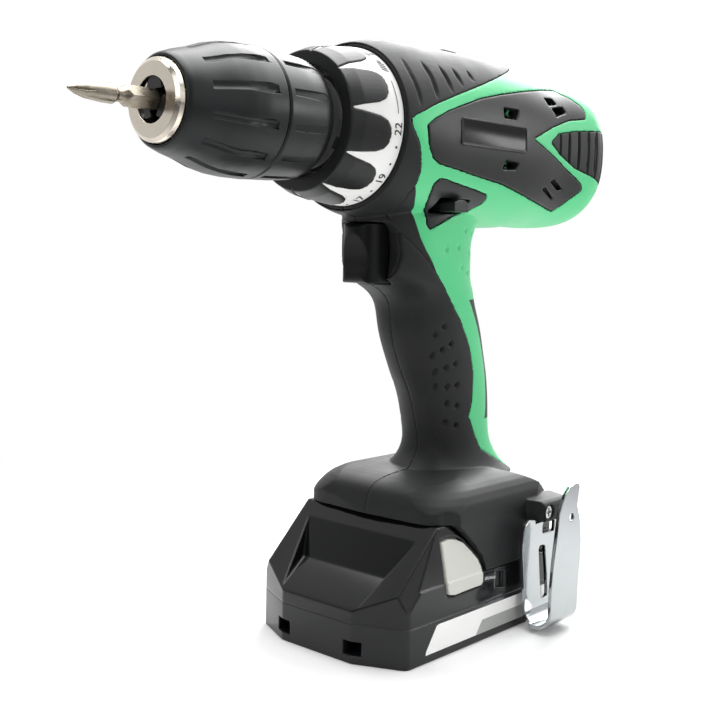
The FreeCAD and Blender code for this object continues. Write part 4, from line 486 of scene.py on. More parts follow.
def make_materials(colours):
    # Glass-filled nylon, moulded in an eroded tool: satin, evenly coloured, faintly mottled.
    plastic("glass_filled_nylon", colours.shell, 0.42, relief=0.012, mottle=0.05, worn="#8fe0b0")
    # Thermoplastic elastomer moulded over the nylon: dull, slightly chalky, soft to the eye.
    plastic("soft_elastomer", colours.rubber, 0.55, relief=0.03, mottle=0.14, sheen=0.02,
            worn="#3a3b3a", shine=0.27)
    # Filled nylon, eroded finish: the side panels, the lever and the dial's grip, satin black.
    plastic("satin_nylon", colours.satin, 0.38, relief=0.02, mottle=0.1, worn="#4a4c4a", shine=0.3)
    # The trigger: the same nylon made a deeper black as painted shade, for the shade it sits in.
    plastic("trigger_nylon", "#0b0c0d", 0.36, relief=0.02, mottle=0.1, shine=0.2)
    # The chuck's sleeves, glass-filled and rubbed by hands: satin, a bright line on each edge.
    plastic("sleeve_nylon", "#151718", 0.36, relief=0.02, mottle=0.14, edge=0.45, shine=0.28)
    # ABS and polycarbonate, polished tool: wet-looking slopes on the battery pack.
    plastic("polished_polycarbonate", colours.gloss, 0.13, grain=4, relief=0.004, mottle=0.05,
            edge=1.3, shine=0.33)
    # The same blend from an eroded tool, on the pack's lower case.
    plastic("eroded_polycarbonate", "#171818", 0.24, relief=0.01, mottle=0.08,
            edge=1.0, shine=0.33)
    # Pale ABS, satin: the latch buttons.
    plastic("pale_abs", colours.latch, 0.4, relief=0.01, mottle=0.03)
    # Polished inlay: deep black with a narrow, sharp reflection.
    plastic("gloss_inlay", "#060707", 0.2, grain=5, relief=0.003, shine=0.12)
    # White polyester, satin, under the numbers of the dial.
    plastic("white_polyester", "#dededc", 0.4, relief=0.008, mottle=0.02, edge=0.25)
    # Pad-printing ink: flat and thin.
    plastic("printing_ink", "#141414", 0.5, relief=0.004, mottle=0.1)
    # Polyester film with a silver face, and its grey panel: matt, very flat.
    plastic("silver_film", "#f6f6f5", 0.5, relief=0.002, mottle=0.02, shine=0.2)
    plastic("grey_film", "#a6a7a5", 0.5, relief=0.003, mottle=0.04, shine=0.2)
    # What lies inside the housing: plain nylon, glass laminate, shrunk film and ferrite.
    plastic("natural_nylon", "#b9b7ae", 0.5, edge=0.3)
    plastic("dark_nylon", "#1d1e1f", 0.5, edge=0.3)
    plastic("glass_laminate", "#1f5f33", 0.35, edge=0.1, coat=0.2)
    plastic("shrink_sleeve", "#2a6f95", 0.3, edge=0.4, coat=0.2)
    plastic("ferrite", "#333538", 0.7, relief=0.04, edge=0.3)
    # Nickel over steel, satin: warm and bright, with faint turning marks.
    metal("satin_nickel", "#dfd6c9", 0.22, (0.3, 1.0, 1.0), relief=0.0006, stain="#c9bda9",
          stain_share=0.15)
    # Chromium over bent steel sheet: a mirror with soft edges.
    metal("bright_chrome", "#a9acae", 0.1, relief=0.01, size=4, edge=0.6, stain="#9c9fa1")
    # Hardened tool steel with a titanium nitride tip: brownish gold over grey.
    metal("tool_steel", "#8f887c", 0.33, (0.3, 1.0, 1.0), relief=0.0005, edge=0.25, stain="#8e7a58",
          stain_share=0.15)
    # Gears, shafts and bearings: ground round, with fine bright rings.
    metal("ground_steel", "#b9b7b3", 0.3, (0.2, 1.0, 1.0))
    # Oil-blacked steel: dark, with a dull metallic shine.
    metal("blacked_steel", "#4a4a4b", 0.38, relief=0.01)
    # Zinc: plated it is bright and yellowish in places, cast it is grey and rough.
    metal("zinc_plate", "#c4c6c8", 0.28, stain="#a9a48e")
    metal("die_cast_zinc", "#a9abad", 0.5, relief=0.03)
    # Drawn wire, enamelled winding and sheet brass: smooth, in their own colours.
    metal("spring_steel", "#8d8c8a", 0.3, edge=0)
    metal("copper_winding", "#b4683a", 0.3, (1.0, 0.1, 0.1), relief=0.05)
    metal("brass_sheet", "#c9a65a", 0.3)


def paint_nodes(finish, *nodes):
    """Gives CAD nodes that stay in view a finish on their own slots."""
    for node in nodes:
        for slot in NODES[node].material_slots:
            slot.material = bpy.data.materials[finish]


# ---- properties
class FinishSettings(bpy.types.PropertyGroup):
    shell: bpy.props.StringProperty(
        name="Shell", description="Colour of the nylon housing, as sRGB hex", default="#45bd7b")
    rubber: bpy.props.StringProperty(
        name="Overmould", description="Colour of the soft grips, as sRGB hex", default="#151617")
    satin: bpy.props.StringProperty(
        name="Panels", description="Colour of the side panels, lever and dial, as sRGB hex",
        default="#171918")
    gloss: bpy.props.StringProperty(
        name="Pack", description="Colour of the polished battery case, as sRGB hex", default="#0c0d0e")
    latch: bpy.props.StringProperty(
        name="Latch", description="Colour of the latch buttons, as sRGB hex", default="#c6c7c0")


class MouldingSettings(bpy.types.PropertyGroup):
    cell: bpy.props.FloatProperty(
        name="Cell", description="Size of the mesh that softens the mouldings' edges",
        default=0.55 * MM, min=0.3 * MM, max=2 * MM, subtype="DISTANCE", unit="LENGTH", precision=5)
    rounds: bpy.props.IntProperty(
        name="Rounds", description="How often that mesh is smoothed", default=3, min=0, max=20)
    dimple: bpy.props.FloatProperty(
        name="Dimple", description="Width of a dimple in the grip",
        default=2.6 * MM, min=0.5 * MM, max=4 * MM, subtype="DISTANCE", unit="LENGTH", precision=5)
    groove: bpy.props.FloatProperty(
        name="Groove", description="Half width of the grooves over the shoulder",
        default=1.15 * MM, min=0.3 * MM, max=1.4 * MM, subtype="DISTANCE", unit="LENGTH", precision=5)


class DialSettings(bpy.types.PropertyGroup):
    steps: bpy.props.IntProperty(
        name="Steps", description="Clutch settings marked round the dial", default=22, min=2, max=24)
    pitch: bpy.props.FloatProperty(
        name="Pitch", description="Turn between two settings", default=math.radians(12.7),
        subtype="ANGLE", unit="ROTATION")
    figure: bpy.props.FloatProperty(
        name="Figure", description="Height of the figures", default=3.3 * MM, subtype="DISTANCE",
        unit="LENGTH", precision=5)


class StageSettings(bpy.types.PropertyGroup):
    ambient: bpy.props.FloatProperty(
        name="Room light", description="Brightness of the room on the object", default=0.15, min=0, max=2)
    lamps: bpy.props.FloatProperty(
        name="Lamps", description="Share of the lamps' full power", default=1.0, min=0, max=4)


# ---- operators
PLANETS = [f"{stage}_planet_{i}" for stage in ("input", "output") for i in (1, 2, 3)]
WORKING_PARTS = {
    "die_cast_zinc": ["gearcase", "gearcase_cover"],
    "ground_steel": ["fixed_ring_gear", "shift_ring_gear", "motor_shaft", "spindle", "ball_bearings", *PLANETS],
    "blacked_steel": ["first_carrier", "jaw_nut", "chuck_screw", "motor_can"],
    "ferrite": ["motor_magnets"],
    "copper_winding": ["armature"],
    "natural_nylon": ["clutch_nut", "brush_plate", "cooling_fan"],
    "brass_sheet": ["motor_brushes"],
    "dark_nylon": ["switch_body", "speed_slider", "terminal_block"],
    "spring_steel": ["trigger_spring", "clutch_spring", "latch_spring_left", "latch_spring_right"],
    "shrink_sleeve": ["battery_cells"],
    "glass_laminate": ["battery_board"],
    "zinc_plate": ["housing_screws", "battery_screws", "hook_screw"],
}


class DRILL_OT_finishes(bpy.types.Operator):
    """Make the materials and paint the working parts inside"""
    bl_idname = "drill.finishes"
    bl_label = "Finishes"

    def execute(self, context):
        make_materials(context.scene.drill_finish)
        for finish, nodes in WORKING_PARTS.items():
            paint_nodes(finish, *nodes)
        return {"FINISHED"}


# Dimples in the green shell below the lever, as (x, z) in mm.
GREEN_DIMPLES = [(4.9, 162.5), (0.1, 155.7), (10.5, 153.5), (3.3, 147.7), (-8.5, 154.8), (12.5, 161.5),
                 (9.5, 145.5)]
GREEN_DIMPLE = (1.6 * MM, 1.2 * MM, 1.7 * MM)


class DRILL_OT_shell(bpy.types.Operator):
    """Make the two green halves of the housing"""
    bl_idname = "drill.shell"
    bl_label = "Housing shell"

    def execute(self, context):
        sizes = context.scene.drill_moulding
        for side, hand in SIDES:
            node = "housing_" + hand
            cuts = [dimples(skin_of(node), GREEN_DIMPLES, side, 0.7 * MM, 0.25, GREEN_DIMPLE)]
            piece = moulding("shell_" + hand, node, sizes.cell, sizes.rounds, 0.3, cuts)
            dressed(piece, "housing", "glass_filled_nylon", node)
            flash_seams(piece, side, hand)
        return {"FINISHED"}


# Where the overmould ends above the trigger, as (x, z) in mm on either side.
OVERMOULD_EDGE = [(-60, 180), (-37, 178.5), (-34.6, 176), (-31.9, 173), (-28.8, 170.4), (-26.6, 167.7),
                  (-25.2, 164), (-23.3, 159.1), (-20.6, 154.6), (-16.9, 150), (-13.6, 145.5), (-12, 142)]
OVERMOULD_AREA = OVERMOULD_EDGE + [(-60, 138)]
# The front edge of the overmould down the back of the handle.
BACK_EDGE = [(6, 139.5), (10.4, 134.7), (12.9, 132.2), (15.9, 128.3), (19.4, 123.6), (22.9, 117.5),
             (25.2, 112.3), (26.8, 106.6), (27.6, 100.3), (27.9, 94), (27.6, 88.5), (26.4, 84)]
BACK_AREA = BACK_EDGE[1:] + [(60, 84), (60, 136)]


NEAR = 1.5      # mm round a stretch of line within which faces are split


def parted(piece, corners):
    """Splits a piece's faces along the line through (x, z) corners in mm, so that two
    finishes meet there in a clean line."""
    shape = bmesh.new()
    shape.from_mesh(piece.data)
    for (x0, z0), (x1, z1) in zip(corners, corners[1:]):
        near = []
        for face in shape.faces:
            x, _, z = face.calc_center_median() / MM
            if min(x0, x1) - NEAR < x < max(x0, x1) + NEAR \
                    and min(z0, z1) - NEAR < z < max(z0, z1) + NEAR:
                near.append(face)
        edges = {edge for face in near for edge in face.edges}
        points = {vert for face in near for vert in face.verts}
        across = Vector((z1 - z0, 0, x0 - x1)).normalized()
        bmesh.ops.bisect_plane(shape, geom=[*points, *edges, *near], dist=1e-6,
                               plane_co=Vector((x0, 0, z0)) * MM, plane_no=across)
    bmesh.ops.triangulate(shape, faces=[face for face in shape.faces if len(face.verts) > 4])
    shape.to_mesh(piece.data)
    shape.free()
    piece.data.shade_smooth()


def inside(x, z, corners):
    """Whether (x, z) lies within the outline."""
    odd = False
    for (x0, z0), (x1, z1) in zip(corners, corners[1:] + corners[:1]):
        if (z0 > z) != (z1 > z) and x < x0 + (z - z0) * (x1 - x0) / (z1 - z0):
            odd = not odd
    return odd


def flash_seams(piece, side, hand):
    """Paints the shell black where the overmould covers it and at the foot, and black as painted shade in its
    seams, vents, inner walls, rim gap, trigger pocket and slider slot.
    """
    parted(piece, OVERMOULD_EDGE)
    parted(piece, BACK_EDGE)
    parted(piece, BACK_AREA[-3:-1])
    parted(piece, [BACK_AREA[-1], BACK_AREA[0]])
    piece.data.materials.append(bpy.data.materials["soft_elastomer"])
    around = ["grip_" + hand, "side_panel_" + hand, "rear_pad_" + hand, "lever_bezels", "trigger"]
    near = tree_of([piece.data] + [NODES[node].data for node in around])
    trim = skin_of("side_panel_" + hand, "lever_bezels")
    for face in piece.data.polygons:
        place, normal = face.center, face.normal
        # A face takes the black slot where the overmould covers it. It also takes it as painted shade where
        # something stands close in front of it, where it lies in a hollow or gap, or where it is sunk behind a
        # trim piece.
        in_close_shade = near.ray_cast(place + normal * SKIP * MM, normal, SHADE_REACH * MM)[0] is not None
        if in_close_shade or black_region(*place / MM, normal) \
                or behind_trim(trim, *place / MM, side, abs(normal.y) < STEEP):
            face.material_index = 1


SKIP = 0.08     # mm a ray starts off its own face
# A face with something this close in front of it is painted black as shade.
SHADE_REACH = 4.5     # mm within which something in front hides a face
STEEP = 0.45    # largest part of a steep face's normal that points sideways


def black_region(x, y, z, normal):
    """Whether a face of the shell at (x, y, z) in mm is black by where it lies: the overmould's own black at
    the foot and in the overmould areas, and painted shade in the trigger pocket, the rim gap, the inner walls
    and the slider slot.
    """
    height = z - AXIS_Z / MM
    reach = math.hypot(y, height)
    outward = (y * normal.y + height * normal.z) / max(reach, 1)
    # The trigger pocket, front rim, inner walls and slider slot below are painted shade.
    trigger_pocket = -37 < x < -5 and 136 < z < 172 and abs(y) < 12
    front_rim = x < -43 and (normal.x < -0.5 or reach < 30)
    foot = z < 56 or z < 66 and x < 14
    inner_wall = z > 165 and reach < 36 and outward < -0.4
    slider_slot = -12 < x < 34 and abs(y) < 10 and z > 220 and normal.z < 0.5
    overmould = inside(x, z, OVERMOULD_AREA) or inside(x, z, BACK_AREA)
    return trigger_pocket or front_rim or foot or inner_wall or slider_slot or overmould


def behind_trim(trim, x, y, z, side, steep):
    """Whether (x, y, z) in mm lies below the outside of a trim piece that is next to it.
    A steep face is the wall of a vent or of the seam round the piece."""
    if not (-45 < x < 85 and 160 < z < 232):
        return False
    low, deep, deeper = 0, 0, 0
    for dx, dz in ((0, 0), (2, 0), (-2, 0), (0, 2), (0, -2)):
        place = seen_from(trim, x + dx, z + dz, side)[0]
        if place is not None:
            below = abs(place.y) / MM - abs(y)
            low += below > 0.4
            deep += below > 0.9
            deeper += below > 2.2
    return deep >= 3 or deeper >= 2 or steep and low >= 1


# Dimples down the handle and grooves over the shoulder, as (x, z) in mm.
GRIP_DIMPLES = [
    (-4, 124.1), (-7.4, 120.9), (0.7, 117), (-3.2, 114.7), (-6.7, 112.3), (4.1, 108.7), (0, 107.2),
    (-4, 105.6), (-2.1, 99.2), (2.1, 99.2), (6.5, 99.8), (3.6, 91.9), (7.9, 90.9), (4.3, 83.8),
    (8.4, 82.5),
]
SHOULDER_GROOVES = [
    [(-42.2, 223.6), (-42.4, 218), (-41.6, 211.5), (-41.4, 206)],
    [(-33.6, 223.4), (-32.4, 218), (-31.9, 209.5)],
    [(-24.8, 223), (-23.4, 218), (-22.4, 213)],
    [(-17.1, 223), (-15.7, 218.6), (-14.9, 216)],
    [(-8.2, 223.4), (-6.6, 219)],
]


class DRILL_OT_grips(bpy.types.Operator):
    """Make the soft overmould with its dimples and the grooves over the shoulder"""
    bl_idname = "drill.grips"
    bl_label = "Soft grips"

    def execute(self, context):
        sizes = context.scene.drill_moulding
        for side, hand in SIDES:
            node = "grip_" + hand
            skin = skin_of(node)
            size = (sizes.dimple * 0.6, sizes.dimple * 0.45, 1.5 * MM)
            pits = dimples(skin, GRIP_DIMPLES, side, 0.2 * MM, 0.35, size)
            lines = [line_on(skin, corners, side, sizes.groove * (1 if place else 0.75))
                     for place, corners in enumerate(SHOULDER_GROOVES)]
            cuts = [pits, rods("shoulder_grooves", lines)]
            piece = moulding("overmould_" + hand, node, 0.8 * sizes.cell, sizes.rounds, 0.48, cuts,
                             firm=56)
            close_foot(piece)
            dressed(piece, "housing", "soft_elastomer", node)
        return {"FINISHED"}


def close_foot(piece):
    """Lowers the front of the foot onto the pack, fading out at its upper end."""
    bottom, top, drop, fade = 46 * MM, 52 * MM, 0.45 * MM, 1.5 * MM
    for vertex in piece.data.vertices:
        if vertex.co.x < -20 * MM and bottom < vertex.co.z < top:
            vertex.co.z -= drop * min(1.0, (top - vertex.co.z) / fade)


PLAQUE_BOX = (-19, 24.5, 194, 204.5)    # its ends in X, then in Z, in mm


class DRILL_OT_panels(bpy.types.Operator):
    """Make the side panels, their bare plaques and the bezels of the reversing lever"""
    bl_idname = "drill.panels"
    bl_label = "Side panels"

    def execute(self, context):
        for hand in ("left", "right"):
            node = "side_panel_" + hand
            piece = moulding("vent_panel_" + hand, node, 0.42 * MM, 3, 0.45)
            dressed(piece, "housing", "satin_nylon", node)
        piece = moulding("lever_surrounds", "lever_bezels", 0.36 * MM, 3, 0.6)
        dressed(piece, "housing", "satin_nylon", "lever_bezels")
        for side, hand in SIDES:
            skin = skin_of("side_panel_" + hand)
            piece = plaque("plaque_" + hand, skin, side, PLAQUE_BOX, 1.6, 0.3 * MM)
            dressed(piece, "housing", "gloss_inlay")
        return {"FINISHED"}


def plaque(name, skin, side, box, corner, rise):
    """A thin raised plate with round corners that follows the surface under it.
    box and corner, the radius, are in mm; rise is in metres."""
    x0, x1, z0, z1 = box
    outline = []
    for cx, cz, start in ((x1 - corner, z1 - corner, 0), (x0 + corner, z1 - corner, 90),
                          (x0 + corner, z0 + corner, 180), (x1 - corner, z0 + corner, 270)):
        for step in range(7):
            turn = math.radians(start + step * 15)
            outline.append((cx + corner * math.cos(turn), cz + corner * math.sin(turn)))
    edge = rise - 0.12 * MM
    rings = []
    for inset, lift in ((0.0, -0.4 * MM), (0.0, edge), (0.12, rise), (0.9, rise), (1.2, edge)):
        ring = []
        for x, z in outline:
            point = Vector((x, z))
            inner = point + (Vector((min(max(x, x0 + corner), x1 - corner),
                                     min(max(z, z0 + corner), z1 - corner))) - point) * (inset / corner)
            place, normal = on_side(skin, inner.x, inner.y, side)
            ring.append(place + normal * lift)
        rings.append(ring)
    piece = loft(name, rings, split_caps=True)
    piece.data.shade_smooth()
    piece.data.set_sharp_from_angle(angle=math.radians(35))
    return piece


PAD_GROOVES = (50.5, 58.5, 66, 73, 79.5)    # where they lie along the body, X in mm


class DRILL_OT_rear_pads(bpy.types.Operator):
    """Make the ribbed pads at the rear of the housing"""
    bl_idname = "drill.rear_pads"
    bl_label = "Rear pads"

    def execute(self, context):
        for side, hand in SIDES:
            node = "rear_pad_" + hand
            skin = skin_of(node)
            lines = []
            for x in PAD_GROOVES:
                z_places = [z / 2 for z in range(2 * 180, 2 * 214) if seen_from(skin, x, z / 2, side)[0]]
                if len(z_places) > 6:
                    corners = [(x, z_places[0] + 0.4), (x, z_places[-1] - 0.4)]
                    lines.append(line_on(skin, corners, side, 0.7 * MM, sink=0.05 * MM))
            cuts = [rods("pad_grooves", lines)]
            piece = moulding("ribbed_pad_" + hand, node, 0.36 * MM, 2, 0.6, cuts)
            dressed(piece, "housing", "soft_elastomer", node)
        return {"FINISHED"}


class DRILL_OT_chuck(bpy.types.Operator):
    """Make the chuck's sleeves, its nose and jaws"""
    bl_idname = "drill.chuck"
    bl_label = "Chuck"

    def execute(self, context):
        skin = skin_of("front_sleeve")
        lines = []
        for turn in range(15, 375, 30):
            lines.append([(round_axis(skin, x, turn, 1.05 * MM), 1.75 * MM) for x in range(-127, -101, 2)])
        flutes = rods("sleeve_flutes", lines, Sides=12)
        piece = crisp("gripping_sleeve", "front_sleeve", 30, [flutes])
        dressed(piece, "sleeve", "sleeve_nylon", "front_sleeve")
        plugs = [jaw_plug(turn) for turn in (90, 210, 330)]
        piece = crisp("collar_sleeve", "rear_sleeve", 30, joins=plugs)
        dressed(piece, "chuck", "sleeve_nylon", "rear_sleeve")
        paint_nodes("satin_nickel", "chuck_body")
        paint_nodes("blacked_steel", "jaw_1", "jaw_2", "jaw_3")
        return {"FINISHED"}


# The collar's outside as (x, radius) in mm, and the radius where a plug starts.
PLUG_STATIONS = ((-88.0, 22.07), (-86.0, 21.98), (-78.5, 21.38), (-77.0, 20.88))
PLUG_INNER = 18.5


def jaw_plug(turn):
    """A curved block that closes the drilling for one jaw where it breaks through the collar."""
    rings = []
    for x, outer in PLUG_STATIONS:
        arc = [(outer, turn - 12 + 3 * i) for i in range(9)]
        arc += [(PLUG_INNER, turn + 12 - 3 * i) for i in range(9)]
        rings.append([(x * MM, -r * MM * math.cos(math.radians(a)),
                       AXIS_Z + r * MM * math.sin(math.radians(a))) for r, a in arc])
    return loft("jaw_plug", rings)


class DRILL_OT_bit(bpy.types.Operator):
    """Finish the screwdriver bit"""
    bl_idname = "drill.bit"
    bl_label = "Screwdriver bit"

    def execute(self, context):
        piece = crisp("bit_blank", "screwdriver_bit", 32)
        dressed(piece, "bit", "tool_steel", "screwdriver_bit")
        return {"FINISHED"}


DIAL_RADIUS = 29 * MM
PRINT_LIFT = 0.1 * MM       # how far the print lies above the band
FIGURE_X, DOT_X, ARC_X, DRILL_X, HAMMER_X = -50.6, -50.2, -50.9, -51.2, -51.4    # mm
TOP_SETTING = -5            # degrees round the dial of the last setting
ARC_AT, DRILL_AT, HAMMER_AT = 18, 43, 60
DOT = (0.55 * MM, 0.55 * MM, 0.12 * MM)


def wrapped(mesh, skin, x, degrees):
    """Lays a flat mesh on the dial: its X runs round the spindle, its Y to the front."""
    for vertex in mesh.vertices:
        around = degrees + math.degrees(vertex.co.x / DIAL_RADIUS)
        vertex.co = round_axis(skin, x - vertex.co.y / MM, around, PRINT_LIFT)
    return mesh


def figure_mesh(text, height):
    """The flat mesh of some figures, centred."""
    curve = bpy.data.curves.new("figure", "FONT")
    curve.body, curve.size = text, height / 0.7
    curve.align_x, curve.align_y = "CENTER", "CENTER"
    curve.offset = 0.02 * height
    writing = placed("figure", curve)
    mesh = evaluated_mesh(writing)
    bpy.data.objects.remove(writing)
    bpy.data.curves.remove(curve)
    return mesh


def bars_mesh(bars):
    """A flat mesh of slanted bars, each (x, y, length, width, turn) in mm and degrees."""
    points, faces = [], []
    for x, y, length, width, turn in bars:
        rotate = Matrix.Rotation(math.radians(turn), 3, "Z")
        start = len(points)
        for i in range(7):
            for j in (-0.5, 0.5):
                corner = rotate @ Vector(((i / 6 - 0.5) * length, j * width, 0))
                points.append((corner + Vector((x, y, 0))) * MM)
        faces += [(start + 2 * i, start + 2 * i + 2, start + 2 * i + 3, start + 2 * i + 1) for i in range(6)]
    mesh = bpy.data.meshes.new("bars")
    mesh.from_pydata(points, [], faces)
    return mesh


class DRILL_OT_dial(bpy.types.Operator):
    """Make the torque dial with its printed figures and marks"""
    bl_idname = "drill.dial"
    bl_label = "Torque dial"

    def execute(self, context):
        sizes = context.scene.drill_dial
        piece = moulding("dial_grip", "clutch_ring", 0.4 * MM, 2, 0.6)
        dressed(piece, "torque_ring", "satin_nylon", "clutch_ring")
        piece = crisp("dial_band", "clutch_band")
        dressed(piece, "torque_ring", "white_polyester", "clutch_band")
        skin = skin_of("clutch_band", "clutch_ring")
        printed, dots = [], []
        pitch = math.degrees(sizes.pitch)
        for setting in range(1, sizes.steps + 1):
            degrees = TOP_SETTING - (sizes.steps - setting) * pitch
            if setting == sizes.steps or setting <= sizes.steps - 3 and setting % 2 == 1:
                mesh = figure_mesh(str(setting), sizes.figure)
                printed.append(wrapped(mesh, skin, FIGURE_X, degrees))
            else:
                place = round_axis(skin, DOT_X, degrees)
                out = Vector((0, place.y, place.z - AXIS_Z)).normalized()
                dots.append((place, out, Vector((1, 0, 0)), DOT))
        arc = [(0, 0, 12.5, 0.35, 0)]
        drill = [(i * 1.15 - 1.7, 0, 2.9, 0.6, 68) for i in range(4)] + [(2.9, 0, 1.6, 1.6, 0)]
        hammer = [(0.3, 1.1, 4.4, 1.5, 0), (-0.2, -0.9, 3.0, 0.8, 90)]
        for bars, x, degrees in ((arc, ARC_X, ARC_AT), (drill, DRILL_X, DRILL_AT),
                                 (hammer, HAMMER_X, HAMMER_AT)):
            printed.append(wrapped(bars_mesh(bars), skin, x, degrees))
        shape = bmesh.new()
        for mesh in printed:
            shape.from_mesh(mesh)
            bpy.data.meshes.remove(mesh)
        piece = placed("dial_figures", mesh_of("dial_figures", shape))
        dressed(piece, "torque_ring", "printing_ink")
        piece = beads("dial_dots", dots, "printing_ink", Segments=12, Rings=6)
        dressed(piece, "torque_ring", "printing_ink")
        return {"FINISHED"}


class DRILL_OT_controls(bpy.types.Operator):
    """Make the trigger and the reversing lever"""
    bl_idname = "drill.controls"
    bl_label = "Controls"

    def execute(self, context):
        piece = moulding("trigger_moulding", "trigger", 0.4 * MM, 3, 0.6)
        # The trigger's deeper black nylon is painted shade.
        dressed(piece, "trigger", "trigger_nylon", "trigger")
        piece = moulding("lever_moulding", "reversing_lever", 0.3 * MM, 2, 0.6)
        dressed(piece, "lever", "satin_nylon", "reversing_lever")
        return {"FINISHED"}


# Outlines on the pack's sides, as (x, z) in mm: round the latch's wire, then the label.
LATCH_RECESS = [(6.2, 19.8), (12.6, 18.6), (12.6, 25.6), (6.2, 26.6)]
LATCH_GAP = [(-0.6, 24), (6.4, 23.2), (6.4, 24.8), (-0.6, 25.6)]
LATCH_WIRE = [(-0.4, 24.2), (6.8, 23.4), (6.8, 24.5), (-0.4, 25.3)]
LABEL_STRIP = [(-38, 3), (-37.6, 4.6), (-31.6, 13), (-30.4, 13.4), (50, 13.4), (50, 3)]
LABEL_PANEL = [(-6, 3), (-2, 8.4), (50, 8.4), (50, 3)]
LATCH_SHARE = 0.95          # how much of its opening a latch button fills


class DRILL_OT_battery(bpy.types.Operator):
    """Make the battery pack's two case halves, its latch buttons and its bare label strips"""
    bl_idname = "drill.battery"
    bl_label = "Battery pack"

    def execute(self, context):
        slots = []
        for (side, hand), edge in zip(SIDES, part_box("battery_top")):
            for name, outline in (("recess", LATCH_RECESS), ("gap", LATCH_GAP)):
                slots.append(prism(name, outline, edge.y - side * 1.3 * MM, edge.y + side * MM))
            wire = prism("latch_wire_" + hand, LATCH_WIRE,
                         edge.y - side * 1.2 * MM, edge.y - side * 0.25 * MM)
            dressed(wire, "battery", "zinc_plate")
        piece = crisp("pack_upper_case", "battery_top", 20, slots)
        dressed(piece, "battery", "polished_polycarbonate", "battery_top")
        piece = crisp("pack_lower_case", "battery_base", 20)
        dressed(piece, "battery", "eroded_polycarbonate", "battery_base")
        for hand in ("left", "right"):
            node = "latch_button_" + hand
            piece = moulding("latch_" + hand, node, 0.34 * MM, 3, 0.6)
            low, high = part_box(node)
            middle = (low + high) / 2
            for vertex in piece.data.vertices:
                vertex.co.x = middle.x + (vertex.co.x - middle.x) * LATCH_SHARE
                vertex.co.z = middle.z + (vertex.co.z - middle.z) * LATCH_SHARE
            dressed(piece, "latch_" + hand, "pale_abs", node)
        for side, hand in SIDES:
            for name, outline, finish, rise in (("label_strip_", LABEL_STRIP, "silver_film", 0.05 * MM),
                                                ("label_panel_", LABEL_PANEL, "grey_film", 0.09 * MM)):
                piece = film(name + hand, outline, side, rise)
                dressed(piece, "battery", finish)
        return {"FINISHED"}


def film(name, outline, side, rise):
    """A thin flat film on the pack's side, closed all round. outline is (x, z) in mm."""
    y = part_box("battery_base")[0 if side < 0 else 1].y
    return prism(name, outline, y - side * 0.02 * MM, y + side * rise)


class DRILL_OT_hook(bpy.types.Operator):
    """Make the belt hook bent from plated sheet"""
    bl_idname = "drill.hook"
    bl_label = "Belt hook"

    def execute(self, context):
        piece = crisp("hook_strip", "belt_hook", 30)
        dressed(piece, "housing", "bright_chrome", "belt_hook")
        return {"FINISHED"}


# Square lamps: name, place and side in metres, power in watts.
LAMPS = (
    ("overhead_box", (-0.05, 0.1, 1.1), 1.0, 16.0),
    ("left_box", (-1.0, -0.2, 0.6), 0.7, 3.0),
    ("right_rear_box", (0.75, 0.3, 0.6), 0.7, 11.0),
    ("side_strip", (0.69, -0.68, 0.38), 0.2, 1.8),
    ("front_fill", (-0.1, -1.1, 0.5), 0.8, 2.4),
)
LIT_POINT = Vector((0, 0, 0.12))
SENSOR_WIDTH, FOCAL_LENGTH = 36.0, 55.843       # mm
EYE = (-0.35586, -0.28432, 0.15328)             # the camera's place and its axes
EYE_RIGHT = Vector((0.66884, -0.74307, 0.02224))
EYE_UP = Vector((0.05515, 0.07943, 0.99531))
WHITE = (1, 1, 1, 1)
BEHIND = (0.741, 0.664, -0.094)     # the way to the white wall behind the object
SKYLIGHT = (0.45, 0.0, 0.893)       # the way to the bright end of the ceiling


class DRILL_OT_stage(bpy.types.Operator):
    """Make the floor, the lamps, the room and the camera"""
    bl_idname = "drill.stage"
    bl_label = "Stage"

    def execute(self, context):
        sizes = context.scene.drill_stage
        lay_floor()
        make_room(sizes.ambient)
        for name, place, spread, power in LAMPS:
            lamp = bpy.data.lights.new(name, "AREA")
            lamp.shape, lamp.size, lamp.energy = "SQUARE", spread, power * sizes.lamps
            box = placed(name, lamp)
            box.location = place
            box.rotation_euler = (LIT_POINT - Vector(place)).to_track_quat("-Z", "Y").to_euler()
        context.scene.camera = camera()
        context.scene.view_settings.view_transform = "Standard"
        return {"FINISHED"}


def camera():
    """The camera: low, to the left of the nose, a little rolled."""
    lens = bpy.data.cameras.new("camera")
    lens.sensor_fit, lens.sensor_width, lens.lens = "HORIZONTAL", SENSOR_WIDTH, FOCAL_LENGTH
    lens.clip_start = 0.01
    eye = placed("camera", lens)
    axes = (EYE_RIGHT, EYE_UP, EYE_RIGHT.cross(EYE_UP))
    eye.matrix_world = Matrix(axes).transposed().to_4x4()
    eye.location = EYE
    return eye


def lay_floor():
    """Pale paper that fades into the white room away from the object."""
    shape = bmesh.new()
    bmesh.ops.create_circle(shape, cap_ends=True, radius=3.0, segments=96)
    mesh = mesh_of("floor", shape)
    for vertex in mesh.vertices:
        vertex.co.z = -0.2 * MM
    floor = placed("floor", mesh)
    paint, tree = blank(bpy.data.materials, "pale_paper")
    place = add(tree, "ShaderNodeTexCoord").outputs["Object"]
    away = add(tree, "ShaderNodeVectorMath", {0: place}, operation="LENGTH").outputs["Value"]
    far = ramp(tree, away, 0.14, 0.42, kind="SMOOTHSTEP")
    share = joined(tree, "MULTIPLY", far, seen_rays(tree))
    paper = add(tree, "ShaderNodeBsdfPrincipled", {"Base Color": tone("#f7f7f7"), "Roughness": 0.9})
    fade = ramp(tree, towards(tree, place, BEHIND), -0.8, 0.2, bottom=0.1)
    bright = joined(tree, "MAXIMUM", fade, camera_ray(tree))
    glow = add(tree, "ShaderNodeEmission", {"Color": WHITE, "Strength": bright})
    wires = {0: share, 1: paper, 2: glow}
    mix = add(tree, "ShaderNodeMixShader", wires)
    add(tree, "ShaderNodeOutputMaterial", {"Surface": mix})
    floor.data.materials.append(paint)


